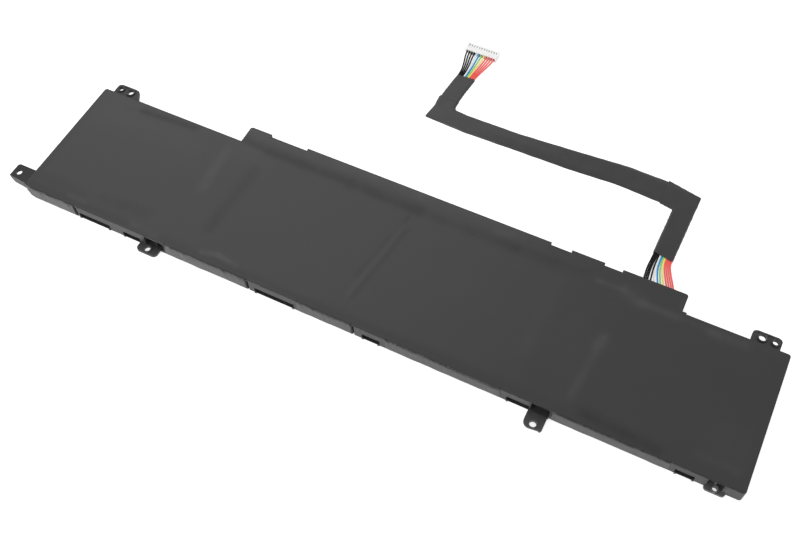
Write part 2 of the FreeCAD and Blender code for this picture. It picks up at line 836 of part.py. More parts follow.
def make_tab_cover(gap):
    """Thin insulating tape that lies on the joined tabs of one gap."""
    left, right = gap_lips(gap)
    start = left + s.tab_cover_inset
    front = tab_rows[0] - s.tab_width / 2 - s.tab_cover_margin
    back = tab_rows[1] + s.tab_width / 2 + s.tab_cover_margin
    corner = (start, front, tab_bottom + s.tab_thickness)
    size = (right - s.tab_cover_inset - start, back - front, s.tab_cover_thickness)
    name = f"tab_cover_{gap + 1}"
    return node(block(name, corner, size), name)


# Cells, tabs and strips


def cell_side(number):
    """1 where the tabs leave a cell to the right, -1 where they leave to the left."""
    return 1 if number in (1, 3) else -1


def lip_end(number):
    """Where the sealed lip of a cell ends, in x."""
    if cell_side(number) > 0:
        return cell_ends[number - 1] + s.lip_length
    return cell_starts[number - 1] - s.lip_length


def gap_lips(gap):
    """Ends of the two lips that face each other in a tab gap."""
    return lip_end(2 * gap + 1), lip_end(2 * gap + 2)


def make_cell(number):
    """Pouch with rounded edges and a flat sealed lip on the side of its tabs."""
    body = new_body(f"cell_{number}")
    start, end = cell_starts[number - 1], cell_ends[number - 1]
    outline = rectangle(start, cell_front, s.cell_length, s.cell_width)
    pouch = pad(body, "pouch", [outline], s.cell_height, cell_base)
    doc.recompute()
    edges = [f"Edge{count}" for count in range(1, len(pouch.Shape.Edges) + 1)]
    rounded = body.newObject("PartDesign::Fillet", "pouch_edges")
    rounded.Base = (pouch, edges)
    bind(rounded, "Radius", s.cell_edge_round)
    doc.recompute()
    inside = s.cell_edge_round
    lip_start = end - inside if cell_side(number) > 0 else start - s.lip_length
    front = cell_front + s.lip_side_inset
    depth = s.cell_width - 2 * s.lip_side_inset
    lip = rectangle(lip_start, front, s.lip_length + inside, depth)
    pad(body, "sealed_lip", [lip], s.lip_thickness, lip_bottom)
    place(body)
    return node(body, f"cell_{number}")


def tab_target(number, row):
    """Index of the strip that a tab is welded to; the cells are joined in series."""
    own_strip = 0 if cell_side(number) > 0 else 2
    shared_row = 0
    return 1 if row == shared_row else own_strip


def make_tab(number, row, name):
    """Flat tab from the lip of a cell to the far edge of its strip."""
    strip = strip_centres((number - 1) // 2)[tab_target(number, row)]
    begin = lip_end(number)
    half = s.strip_width / 2
    if cell_side(number) > 0:
        start, length = begin, strip + half - begin
    else:
        start, length = strip - half, begin - (strip - half)
    if tab_target(number, row) == 1:
        # The two tabs that share the middle strip lie side by side on it.
        lane = row_lane(number, row)
    else:
        lane = tab_rows[row] - s.tab_width / 2
    corner = (start, lane, tab_bottom)
    return node(block(name, corner, (length, s.tab_width, s.tab_thickness)), name)


def row_lane(number, row):
    """Front edge of a tab on the shared strip: the left cell's tab lies in front."""
    middle = tab_rows[row]
    return middle - s.tab_width - s.tab_cover_inset if cell_side(number) > 0 else middle


def make_strip(gap, index, name):
    """Strip from its foremost tab along the rails to the board."""
    centre = strip_centres(gap)[index]
    row = 0 if index == 1 else 1
    front = tab_rows[row] - s.tab_width - s.tab_cover_inset
    back = board_front + s.strip_on_board
    corner = (centre - s.strip_width / 2, front, board_top)
    return node(block(name, corner, (s.strip_width, back - front, s.strip_thickness)), name)


# Circuit board and what stands on it


def make_board():
    body = new_body("circuit_board")
    outline = rectangle(board_left, board_front, board_right - board_left, board_back - board_front)
    pad(body, "laminate", [outline], s.board_thickness, board_bottom)
    place(body)
    return node(body, "circuit_board")


def make_board_part(name, left, size):
    """Closed case in the middle of the board's width, its left side at a place in x."""
    length, width, height = size
    front = (board_front + board_back) / 2 - width / 2
    return node(block(name, (left, front, board_top), (length, width, height)), name)


def make_board_parts():
    """Sensor, shunt, switches and fuse from the left strips on; chips before the right ones."""
    left = strip_centres(0)[2] + s.strip_width / 2
    right = strip_centres(1)[0] - s.strip_width / 2
    sensor = (s.sensor_length, s.sensor_width, s.sensor_height)
    shunt = (s.shunt_length, s.shunt_width, s.shunt_height)
    switch = (s.power_switch_side, s.power_switch_side, s.power_switch_height)
    switch_left = left + s.power_switch_from_strips
    fuse = (s.fuse_length, s.fuse_width, s.fuse_height)
    gauge = (s.gauge_side, s.gauge_side, s.gauge_height)
    guard = (s.guard_length, s.guard_width, s.guard_height)
    make_board_part("thermistor", left + s.sensor_from_strips, sensor)
    make_board_part("sense_resistor", left + s.shunt_from_strips, shunt)
    make_board_part("mosfet_1", switch_left, switch)
    make_board_part("mosfet_2", switch_left + s.power_switch_pitch, switch)
    make_board_part("fuse", left + s.fuse_from_strips, fuse)
    make_board_part("gauge_chip", right - s.gauge_before_strips, gauge)
    make_board_part("guard_chip", right - s.guard_before_strips, guard)


def group(name, boxes):
    """Several equal solids in one node."""
    compound = doc.addObject("Part::Compound", name + "_group")
    compound.Links = boxes
    return node(compound, name)


# Harness: places are measured from the left end of the cable notch at the bay's back

wire_count = SIZES["wire_count"]
wire_radius = SIZES["wire_radius"]
joint_height = (board_top + s.wire_over_board).value

# Centre line of the flat bundle: leg from the pack, first corner, long run, second
# corner, leg to the plug.
BUNDLE_ROUTE = [
    (4.50, 15.05), (4.72, 24.14), (4.74, 32.94), (4.91, 39.62), (5.05, 43.77),
    (3.50, 46.84), (0.67, 48.76), (-3.10, 49.07), (-9.58, 49.71), (-20.55, 50.37),
    (-35.52, 50.32), (-52.48, 49.26), (-69.94, 48.40), (-86.42, 48.04), (-97.41, 48.00),
    (-104.01, 48.12), (-107.91, 48.25), (-111.08, 50.35), (-112.72, 53.81), (-112.33, 57.75),
    (-111.92, 63.60), (-110.67, 75.20),
]
BUNDLE_HEIGHT = 0.45

# Where each wire crosses the notch and bends on its way down to the bundle
EXIT_X = [1.1, 1.85, 2.6, 3.9, 5.6, 7.3, 8.5, 9.8, 11.1, 12.1, 13.05, 13.9]
BEND_1_X = [0.7, 1.45, 2.2, 3.4, 4.6, 5.9, 7.1, 8.3, 9.5, 10.5, 11.5, 12.45]
BEND_2_X = [0.35, 1.1, 1.8, 2.8, 3.65, 4.45, 5.5, 6.45, 7.4, 8.3, 9.2, 10.1]
EXIT = (1.1, 3.35)
BEND_1 = (5.0, 2.3)
BEND_2 = (10.3, 1.05)

# Run from each joint across the board, and the plug: the wires fan out to its spacing
JOINT_RUN = 2.9
PLUG_CENTRE_X = -110.15
PLUG_BACK_Y = 88.85
PLUG_RUN = 2.8
FAN = (-110.31, 81.4, 0.62)
FAN_PITCH = 0.93

# Share of the shorter of two runs that the arc between them takes
ARC_SHARE = 0.45

# Outlines of the three pieces of flat wrap
WRAP_PACK_END = [
    (0.11, 17.97), (9.02, 16.15), (9.80, 53.39), (-5.08, 56.64), (-5.08, 43.51),
    (0.47, 42.45),
]
WRAP_MIDDLE = [
    (-5.08, 43.82), (-5.08, 56.04), (-24.07, 56.45), (-45.03, 54.93), (-74.97, 53.01),
    (-98.96, 52.86), (-105.96, 53.12), (-107.17, 53.93), (-107.63, 55.45), (-107.41, 58.40),
    (-117.62, 58.40), (-118.26, 43.98), (-98.36, 43.27), (-70.90, 43.62), (-46.55, 43.87),
    (-26.01, 44.98),
]
WRAP_PLUG_END = [
    (-116.87, 58.40), (-107.76, 58.40), (-107.42, 63.59), (-106.27, 73.97), (-115.33, 73.46),
    (-116.42, 63.59),
]


def beside(route, offset):
    """The line at an equal distance to the right of a route in the plane."""
    line = []
    for index, (x, y) in enumerate(route):
        before = route[max(index - 1, 0)]
        after = route[min(index + 1, len(route) - 1)]
        way_in = math.atan2(y - before[1], x - before[0]) if index else None
        way_out = math.atan2(after[1] - y, after[0] - x) if index < len(route) - 1 else None
        way_in = way_out if way_in is None else way_in
        way_out = way_in if way_out is None else way_out
        turn = math.remainder(way_out - way_in, math.tau)
        heading = way_in + turn / 2
        reach = offset / math.cos(turn / 2)
        line.append((x + reach * math.sin(heading), y - reach * math.cos(heading)))
    return line


def wire_route(index):
    """Corner points of one wire from its joint on the board to its contact."""
    place_in_row = index - (wire_count - 1) / 2
    joint_x = s.wire_joint_inset.value + index * s.wire_joint_pitch.value
    joint_y = -s.wire_joint_from_back.value
    points = [
        (joint_x, joint_y, joint_height),
        (joint_x, joint_y + JOINT_RUN, joint_height),
        (EXIT_X[index], *EXIT),
        (BEND_1_X[index], *BEND_1),
        (BEND_2_X[index], *BEND_2),
    ]
    lane = beside(BUNDLE_ROUTE, place_in_row * s.wire_pitch.value)
    points += [(x, y, BUNDLE_HEIGHT) for x, y in lane]
    points.append((FAN[0] + place_in_row * FAN_PITCH, FAN[1], FAN[2]))
    end_x = PLUG_CENTRE_X + place_in_row * s.plug_pitch.value
    end_y = PLUG_BACK_Y + s.contact_from_back.value
    end_z = s.cavity_floor.value + s.cavity_height.value / 2
    points += [(end_x, end_y - PLUG_RUN, end_z), (end_x, end_y, end_z)]
    return [FreeCAD.Vector(*point) for point in points]


def rounded_path(points):
    """Straight runs joined by tangent arcs, each as large as its two runs allow."""
    edges, radii = [], []
    last = points[0]
    for before, corner, after in zip(points, points[1:], points[2:]):
        way_in = (corner - before).normalize()
        way_out = (after - corner).normalize()
        half_turn = way_in.getAngle(way_out) / 2
        cut = ARC_SHARE * min((corner - before).Length, (after - corner).Length)
        start, end = corner - way_in * cut, corner + way_out * cut
        radius = cut / math.tan(half_turn)
        inwards = (way_out - way_in).normalize()
        middle = corner + inwards * (radius / math.cos(half_turn) - radius)
        edges.append(Part.LineSegment(last, start).toShape())
        edges.append(Part.Arc(start, middle, end).toShape())
        radii.append(radius)
        last = end
    edges.append(Part.LineSegment(last, points[-1]).toShape())
    return Part.Wire(edges), radii


def place_harness(thing):
    place(thing, cable_left, bay_back)


def make_wire(index):
    """One insulated wire as a round tube along its path."""
    path, radii = rounded_path(wire_route(index))
    first = path.Edges[0]
    start, way = first.valueAt(first.FirstParameter), first.tangentAt(first.FirstParameter)
    ring = Part.Wire(Part.makeCircle(wire_radius, start, way))
    tube = path.makePipeShell([ring], True, False)
    ideal = math.pi * wire_radius ** 2 * path.Length
    print(
        f"wire_{index + 1}: length {path.Length:.1f}, smallest radius {min(radii):.2f}, "
        f"volume over ideal {tube.Volume / ideal:.4f}"
    )
    wire = doc.addObject("Part::Feature", f"wire_{index + 1}_tube")
    wire.Shape = tube
    place_harness(wire)
    return node(wire, f"wire_{index + 1}")


def flat_prism(outline, bottom, height):
    corners = [FreeCAD.Vector(x, y, bottom) for x, y in outline]
    face = Part.Face(Part.makePolygon(corners + corners[:1]))
    return face.extrude(FreeCAD.Vector(0, 0, height))


def make_wrap(name, outline):
    """Flat wrap of tape with the room for the row of wires inside."""
    half_row = (wire_count - 1) / 2 * s.wire_pitch.value
    side = half_row + s.wrap_side_room.value
    room = beside(BUNDLE_ROUTE, side) + beside(BUNDLE_ROUTE, -side)[::-1]
    skin, height = s.wrap_skin.value, s.wrap_height.value
    outer = flat_prism(outline, 0.0, height)
    inner = flat_prism(room, skin, height - 2 * skin)
    wrap = doc.addObject("Part::Feature", name + "_tape")
    wrap.Shape = outer.cut(inner)
    place_harness(wrap)
    return node(wrap, name)


def make_wire_joints():
    """Small solder blocks, one at the start of each wire."""
    boxes = []
    for index in range(wire_count):
        centre = cable_left + s.wire_joint_inset + index * s.wire_joint_pitch
        front = bay_back - s.wire_joint_from_back - s.wire_joint_length
        corner = (centre - s.wire_joint_width / 2, front, board_top)
        size = (s.wire_joint_width, s.wire_joint_length, s.wire_joint_height)
        boxes.append(block(f"wire_joint_{index + 1}", corner, size))
    return group("wire_joints", boxes)


def make_plug():
    """Housing with a row of cavities, open at both ends, and a window over each."""
    body = new_body("plug_housing")
    centre = cable_left + PLUG_CENTRE_X
    back = bay_back + PLUG_BACK_Y
    left = centre - s.plug_length / 2
    pad(body, "housing", [rectangle(left, back, s.plug_length, s.plug_depth)], s.plug_height)
    keys = [
        rectangle(x, back + s.plug_depth - s.key_length, s.key_width, s.key_length)
        for x in (left, left + s.plug_length - s.key_width)
    ]
    pad(body, "keys", keys, s.key_height, s.plug_height)
    first = centre - s.plug_pitch * (s.wire_count - 1) / 2
    start = first - s.cavity_width / 2
    cavity = body.newObject("PartDesign::Pocket", "cavity")
    shape = rectangle(start, s.cavity_floor, s.cavity_width, s.cavity_height)
    cavity.Profile = sketch(body, "cavity", [shape], level=-back, plane="XZ_Plane")
    bind(cavity, "Length", s.plug_depth)
    doc.recompute()
    repeat_along_x(body, "cavities", cavity, s.plug_pitch, s.wire_count)
    doc.recompute()
    window_y = back + s.plug_depth - s.window_from_mouth - s.window_length
    opening = rectangle(first - s.window_width / 2, window_y, s.window_width, s.window_length)
    roof = s.plug_height - s.cavity_floor - s.cavity_height
    window = pocket(body, "window", [opening], roof, s.plug_height)
    doc.recompute()
    repeat_along_x(body, "windows", window, s.plug_pitch, s.wire_count)
    doc.recompute()
    place(body)
    node(body, "plug_housing")
    contacts = []
    for index in range(wire_count):
        x = first + index * s.plug_pitch - s.contact_width / 2
        corner = (x, back + s.contact_from_back, s.cavity_floor)
        size = (s.contact_width, s.contact_length, s.contact_height)
        contacts.append(block(f"contact_{index + 1}", corner, size))
    return group("plug_contacts", contacts)


def make_pack():
    make_frame()
    make_top_film()
    make_bottom_film()
    for number in range(1, 5):
        make_cell_tape(number)
        make_cell(number)
        for row, word in enumerate(("front", "back")):
            make_tab(number, row, f"cell_{number}_{word}_tab")
    for gap, word in enumerate(("left", "right")):
        for index, line in enumerate(("outer", "shared", "inner")):
            make_strip(gap, index, f"{word}_{line}_strip")
        make_tab_cover(gap)
    make_board()
    make_board_parts()
    make_wire_joints()
    for index in range(wire_count):
        make_wire(index)
    make_wrap("wrap_pack_end", WRAP_PACK_END)
    make_wrap("wrap_middle", WRAP_MIDDLE)
    make_wrap("wrap_plug_end", WRAP_PLUG_END)
    make_plug()


def check_and_write():
    """Stop on any failed object or shape, then write one file for each piece."""
    doc.recompute()
    for thing in doc.Objects:
        if {"Invalid", "Error"} & set(thing.State):
            raise RuntimeError(f"{thing.Label} failed: {thing.State}")
    for piece in NODES:
        if piece.Shape.isNull() or not piece.Shape.isValid():
            raise RuntimeError(f"{piece.Label} has no valid shape")
    os.makedirs("parts", exist_ok=True)
    for piece in NODES:
        piece.Shape.exportStep(f"parts/{piece.Label}.step")
        print(f"{piece.Label}: {len(piece.Shape.Solids)} solids, {piece.Shape.Volume:.1f} mm3")


make_pack()
check_and_write()
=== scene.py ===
import json
import math

import bpy
import numpy as np
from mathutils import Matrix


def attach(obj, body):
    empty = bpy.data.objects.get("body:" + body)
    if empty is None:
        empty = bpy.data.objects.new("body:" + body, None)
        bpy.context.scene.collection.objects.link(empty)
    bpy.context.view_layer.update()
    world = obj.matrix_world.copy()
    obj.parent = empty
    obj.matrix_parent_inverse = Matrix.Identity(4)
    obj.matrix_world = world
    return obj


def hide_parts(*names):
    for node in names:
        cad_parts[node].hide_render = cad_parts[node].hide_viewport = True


# Looks of a flat laptop battery pack: the film over the cells, the taped wire harness,
# the plug, and a finish for every piece. Shapes are worked out in millimetres from the
# front left bottom corner of the moulded frame, and put_mesh moves them to the origin.

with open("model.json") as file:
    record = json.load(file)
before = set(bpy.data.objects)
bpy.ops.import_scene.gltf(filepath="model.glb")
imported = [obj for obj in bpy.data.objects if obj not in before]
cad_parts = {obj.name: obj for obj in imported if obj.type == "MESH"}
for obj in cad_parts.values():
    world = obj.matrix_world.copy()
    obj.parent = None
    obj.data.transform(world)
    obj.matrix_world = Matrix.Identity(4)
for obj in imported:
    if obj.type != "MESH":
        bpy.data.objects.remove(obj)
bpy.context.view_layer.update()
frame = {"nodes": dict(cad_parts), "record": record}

ORIGIN = np.array([155.375, 31.775, 0.0])
FRAME_LENGTH, FRAME_DEPTH, BAY_BACK = 320.0, 62.0, 71.0


def along_x(place):
    """A place along the frame, given in millimetres, as an Object coordinate in metres."""
    return (place - ORIGIN[0]) / 1000.0


def along_y(place):
    """A place from front to back, given in millimetres, as an Object coordinate in metres."""
    return (place - ORIGIN[1]) / 1000.0


# Camera

CAMERA_PLACE = (0.115451, -0.195528, 0.356839)
CAMERA_TURN = (32.0872, 1.0708, 26.2997)
CAMERA_LENS = 45.6428


def add_camera():
    """Camera at the photograph's viewing angle, on a sensor 36 mm wide."""
    data = bpy.data.cameras.new("camera")
    data.lens = CAMERA_LENS
    data.sensor_width = 36.0
    data.sensor_fit = "HORIZONTAL"
    data.clip_start, data.clip_end = 0.01, 20.0
    camera = bpy.data.objects.new("camera", data)
    camera.location = CAMERA_PLACE
    camera.rotation_euler = [math.radians(angle) for angle in CAMERA_TURN]
    bpy.context.scene.collection.objects.link(camera)
    bpy.context.scene.camera = camera


# Meshes from arrays


def put_mesh(name, points, faces, smooth=True, rub_and_painted_crease_shading=None):
    """A new object from points in millimetres and faces of three or four corners; rub
    gives each point a number that its finish reads, on the film the level of its painted
    crease highlight and painted shade."""
    points = (np.asarray(points, float) - ORIGIN) / 1000.0
    faces = np.asarray(faces)
    used, index = np.unique(faces, return_inverse=True)
    mesh = bpy.data.meshes.new(name)
    mesh.from_pydata(points[used].tolist(), [], index.reshape(faces.shape).tolist())
    mesh.polygons.foreach_set("use_smooth", np.full(len(faces), smooth))
    if rub_and_painted_crease_shading is not None:
        mesh.attributes.new("rub_and_painted_crease_shading", "FLOAT", "POINT").data.foreach_set("value", rub_and_painted_crease_shading[used])
    mesh.validate()
    mesh.update()
    piece = bpy.data.objects.new(name, mesh)
    bpy.context.scene.collection.objects.link(piece)
    return piece


def numbered(shape, start=0):
    """Numbers of the points of a grid, which run column by column within each row."""
    return start + np.arange(math.prod(shape)).reshape(shape)


def quads(index):
    """Faces between neighbours in a grid of point numbers."""
    return np.stack([index[:-1, :-1], index[:-1, 1:], index[1:, 1:], index[1:, :-1]], -1)


def add_wall(piece, thickness):
    """Give a surface a wall behind it, with its thickness in millimetres."""
    wall = piece.modifiers.new("wall", "SOLIDIFY")
    wall.thickness = thickness / 1000.0
    wall.offset = -1.0


def smoothstep(value, low, high):
    """0 below low, 1 above high, and the cubic 3t^2 - 2t^3 in between."""
    t = np.clip((value - low) / (high - low), 0.0, 1.0)
    return t * t * (3.0 - 2.0 * t)


def between(value, start, full, fade, end):
    """1 from full to fade, 0 before start and after end, and smooth steps in between."""
    return smoothstep(value, start, full) * (1.0 - smoothstep(value, fade, end))


def waves(x, y, count, length, seed):
    """Sum of sine waves in random directions whose lengths lie round a given length."""
    draw = np.random.default_rng(seed)
    total = np.zeros(np.broadcast(x, y).shape)
    for angle, stretch, phase in draw.uniform(0.0, 1.0, (count, 3)):
        way = angle * math.tau
        step = math.tau / (length * (0.6 + stretch))
        total += np.sin((x * math.cos(way) + y * math.sin(way)) * step + phase * math.tau)
    return total / math.sqrt(count)


# Shader maths


class Value:
    """The output of a shader node, with sums written as plain expressions."""

    def __init__(self, finish, socket):
        self.finish, self.socket = finish, socket

    def _math(self, operation, *others):
        values = dict(enumerate(others))
        return self.finish.node("ShaderNodeMath", {"operation": operation}, values)

    def __add__(self, other):
        return self._math("ADD", self, other)

    def __radd__(self, other):
        return self._math("ADD", other, self)

    def __sub__(self, other):
        return self._math("SUBTRACT", self, other)

    def __rsub__(self, other):
        return self._math("SUBTRACT", other, self)

    def __mul__(self, other):
        return self._math("MULTIPLY", self, other)

    def __rmul__(self, other):
        return self._math("MULTIPLY", other, self)

    def __gt__(self, other):
        return self._math("GREATER_THAN", self, other)

    def __lt__(self, other):
        return self._math("LESS_THAN", self, other)

    def __abs__(self):
        return self._math("ABSOLUTE", self)

    def sine(self):
        return self._math("SINE", self)

    def ramp(self, low, high):
        """0 below low, 1 above high and straight in between; it falls where low is above high."""
        settings = {"interpolation_type": "LINEAR", "clamp": True}
        return self.finish.node("ShaderNodeMapRange", settings, {0: self, 1: low, 2: high})


class Finish:
    """A node material: constants sit on the shader, and what changes is linked to it."""

    def __init__(self, name, colour, roughness, **constants):
        self.material = bpy.data.materials.new(name)
        self.material.use_nodes = True
        self.tree = self.material.node_tree
        self.shader = self.tree.nodes["Principled BSDF"]
        self.material.diffuse_color = (*colour, 1.0)
        self.shader.inputs["Base Color"].default_value = (*colour, 1.0)
        self.shader.inputs["Roughness"].default_value = roughness
        for socket, value in constants.items():
            self.shader.inputs[socket.replace("_", " ")].default_value = value
        self.place = self.node("ShaderNodeTexCoord", output="Object")

    def node(self, kind, settings=None, values=None, output=0):
        """Add a node: its settings first, then the values and links of its sockets."""
        made = self.tree.nodes.new(kind)
        for key, setting in (settings or {}).items():
            setattr(made, key, setting)
        for key, value in (values or {}).items():
            self.feed(made.inputs[key], value)
        return Value(self, made.outputs[output])

    def feed(self, socket, value):
        if isinstance(value, Value):
            self.tree.links.new(value.socket, socket)
        elif isinstance(value, tuple) and len(value) == 3 and socket.type == "RGBA":
            socket.default_value = (*value, 1.0)
        else:
            socket.default_value = value

    def noise(self, scale, detail=2.0, roughness=0.5, place=None):
        """Noise from 0 to 1; the scale is in lumps to the metre."""
        values = {"Vector": place or self.place, "Scale": scale, "Detail": detail}
        return self.node("ShaderNodeTexNoise", None, {**values, "Roughness": roughness})

    def stretched(self, x, y, z):
        """The place with each axis multiplied, so that a pattern runs along an axis."""
        settings = {"operation": "MULTIPLY"}
        return self.node("ShaderNodeVectorMath", settings, {0: self.place, 1: (x, y, z)})

    def axis(self, letter):
        return self.node("ShaderNodeSeparateXYZ", None, {0: self.place}, output=letter)

    def mix(self, share, first, second):
        """Blend of two colours by a share from 0 to 1."""
        values = {"Factor": share, 6: first, 7: second}
        return self.node("ShaderNodeMix", {"data_type": "RGBA"}, values, output=2)

    def colour(self, value):
        self.feed(self.shader.inputs["Base Color"], value)

    def rough(self, value):
        self.feed(self.shader.inputs["Roughness"], value)

    def bump(self, height, depth):
        """Relief whose height runs from 0 to 1 over a depth in metres."""
        values = {"Height": height, "Distance": depth, "Strength": 1.0}
        made = self.node("ShaderNodeBump", None, values)
        self.feed(self.shader.inputs["Normal"], made)


def shade(colour, factor):
    """The same colour, lighter or darker."""
    return tuple(min(1.0, channel * factor) for channel in colour)


def mottled(name, colour, roughness, spread=0.15, lump=400.0, **constants):
    """Plain finish with soft patches of tone and a fine grain."""
    finish = Finish(name, colour, roughness, **constants)
    patches = finish.noise(lump, 3.0)
    finish.colour(finish.mix(patches, shade(colour, 1.0 - spread), shade(colour, 1.0 + spread)))
    finish.rough(patches * 0.12 + (roughness - 0.06))
    finish.bump(finish.noise(2500.0, 2.0), 0.00002)
    return finish.material


# Finishes

# Places and half widths that the finishes read, as Object coordinates in metres
FOLD_LINE = along_y(0.075)
RIGHT_EDGE = along_x(FRAME_LENGTH)
GROOVE_CENTRES = [along_x(27.15), along_x(112.95), along_x(161.7)]
GROOVE_HALF_WIDTH = 0.0004
RIGHT_EAR, RIGHT_EAR_HALF_WIDTH = along_x(310.05), 0.0041
SIDE_EAR_ROOT = along_x(0.175)
# Where the painted shadow under the film's front edge grows towards the right end
PAINTED_SHADOW_START, PAINTED_SHADOW_FULL = 0.087, 0.097
# Where the tape grows darker towards the right, and where painted shade falls along its front side
DARKER_RIGHT_START, DARKER_RIGHT_FULL = 0.022, 0.06
FRONT_SIDE_START, FRONT_SIDE_FULL = 0.0885, 0.0862
PAINTED_FRONT_SHADE_START, PAINTED_FRONT_SHADE_FULL = 0.0, 0.025

# Colours
FILM = (0.0185, 0.0185, 0.019)
# Painted shadow under the fold and the film's edge
PAINTED_FOLD_SHADOW = (0.003, 0.003, 0.003)
# Painted highlight in specks along the fold and the right edge
PAINTED_EDGE_HIGHLIGHT = (0.12, 0.12, 0.12)
DUST = (0.16, 0.16, 0.16)
PLASTIC = (0.024, 0.024, 0.025)
# Painted shade in the three upright grooves
PAINTED_GROOVE_SHADE = (0.002, 0.002, 0.002)
WRAP = (0.033, 0.033, 0.0335)


def film_finish():
    """Satin insulating film: soft cloudy tone, faint rubbed marks, a painted highlight along
    raised creases and painted shade in hollows, a few specks of dust, and along the fold in
    front and the right edge pale specks of painted highlight and dark specks of painted
    shadow, which are denser towards the right end."""
    finish = Finish("film", FILM, 0.4, IOR=1.5)
    cloud = finish.noise(22.0, 3.0)
    fine = finish.noise(900.0, 3.0, 0.6)
    rub_and_painted_crease_shading = finish.noise(60.0, 4.0, 0.7, finish.stretched(0.25, 1.0, 1.0))
    # Painted highlight along raised creases and painted shade in hollows, from each point's crease
    # level
    crease = finish.node("ShaderNodeAttribute", {"attribute_name": "rub_and_painted_crease_shading"}, output="Fac")
    tone = (cloud * 0.55 + rub_and_painted_crease_shading * 0.3 + fine * 0.15) * 0.22 + 0.39 + crease * 1.1
    base = finish.mix(tone, shade(FILM, 0.1), shade(FILM, 1.9))
    along, back, up = (finish.axis(letter) for letter in "XYZ")
    front = back.ramp(FOLD_LINE + 0.0005, FOLD_LINE)
    right = along.ramp(RIGHT_EDGE - 0.0006, RIGHT_EDGE - 0.0002)
    # Pale specks of painted highlight along the fold in front and the right edge
    painted_highlight_specks = finish.noise(520.0, 3.0, 0.7, finish.stretched(1.0, 0.8, 0.4)).ramp(0.56, 0.66)
    rim = front * up.ramp(0.0056, 0.0063) + right
    with_painted_edge_shading = finish.mix(rim * painted_highlight_specks * 0.5, base, PAINTED_EDGE_HIGHLIGHT)
    # Dark specks of painted shadow under the fold and at the right edge, denser towards the right
    # end
    painted_shadow_specks = finish.noise(330.0, 4.0, 0.7, finish.stretched(1.0, 0.8, 0.5)).ramp(0.46, 0.54)
    painted_shadow_specks = painted_shadow_specks + along.ramp(PAINTED_SHADOW_START, PAINTED_SHADOW_FULL) * 0.7
    fold = front * up.ramp(0.0054, 0.0058) * up.ramp(0.00695, 0.0068) + right * 0.5
    with_painted_edge_shading = finish.mix(fold * painted_shadow_specks * 0.8, with_painted_edge_shading, PAINTED_FOLD_SHADOW)
    dust = finish.noise(1400.0, 1.0) > 0.83
    finish.colour(finish.mix(dust * 0.5, with_painted_edge_shading, DUST))
    finish.rough(rub_and_painted_crease_shading * 0.1 + cloud * 0.06 + 0.25)
    finish.bump(finish.noise(1600.0, 2.0) * 0.6 + finish.noise(260.0, 2.0) * 0.4, 0.00003)
    return finish.material


def plastic_finish():
    """Moulded black plastic: fine spark grain, slightly paler rubbed patches, painted light on
    the ears in front, most of all on the right one, a darker top on the side ear, a painted
    shadow line under the film near the right end, and painted shade in the three upright grooves."""
    finish = Finish("frame_plastic", PLASTIC, 0.5)
    patches = finish.noise(120.0, 3.0)
    rub_and_painted_crease_shading = finish.noise(500.0, 4.0, 0.7).ramp(0.52, 0.7)
    base = finish.mix(patches, shade(PLASTIC, 0.85), shade(PLASTIC, 1.2))
    base = finish.mix(rub_and_painted_crease_shading * 0.35, base, shade(PLASTIC, 2.2))
    along, back, up = (finish.axis(letter) for letter in "XYZ")
    # Painted light on the ears in front, low down
    ears = up.ramp(0.0032, 0.0022) * back.ramp(FOLD_LINE, FOLD_LINE - 0.0003)
    base = finish.mix(ears, base, shade(PLASTIC, 1.7))
    # More painted light on the right ear in front
    right_ear = (abs(along - RIGHT_EAR) < RIGHT_EAR_HALF_WIDTH) * up.ramp(0.0045, 0.0035)
    right_ear = right_ear * back.ramp(FOLD_LINE + 0.003, FOLD_LINE + 0.002)
    base = finish.mix(right_ear, base, shade(PLASTIC, 3.5))
    side_ear = along.ramp(SIDE_EAR_ROOT, SIDE_EAR_ROOT - 0.0004) * up.ramp(0.0064, 0.00655)
    base = finish.mix(side_ear, base, shade(PLASTIC, 0.2))
    # Painted shadow line on the wall just under the film's edge, near the right end
    painted_edge_shadow = up.ramp(0.0059, 0.0062) * back.ramp(FOLD_LINE + 0.0006, FOLD_LINE)
    base = finish.mix(painted_edge_shadow * along.ramp(PAINTED_SHADOW_START, PAINTED_SHADOW_FULL) * 0.8, base, PAINTED_FOLD_SHADOW)
    # Painted shade in the three upright grooves, which are also made rougher
    grooves = sum(abs(along - centre) < GROOVE_HALF_WIDTH for centre in GROOVE_CENTRES)
    painted_groove_shade = grooves * back.ramp(FOLD_LINE + 0.0016, FOLD_LINE + 0.0012)
    finish.colour(finish.mix(painted_groove_shade * 0.9, base, PAINTED_GROOVE_SHADE))
    finish.rough(patches * 0.14 + 0.42 + painted_groove_shade * 0.4)
    finish.bump(finish.noise(3800.0, 1.0), 0.00004)
    return finish.material


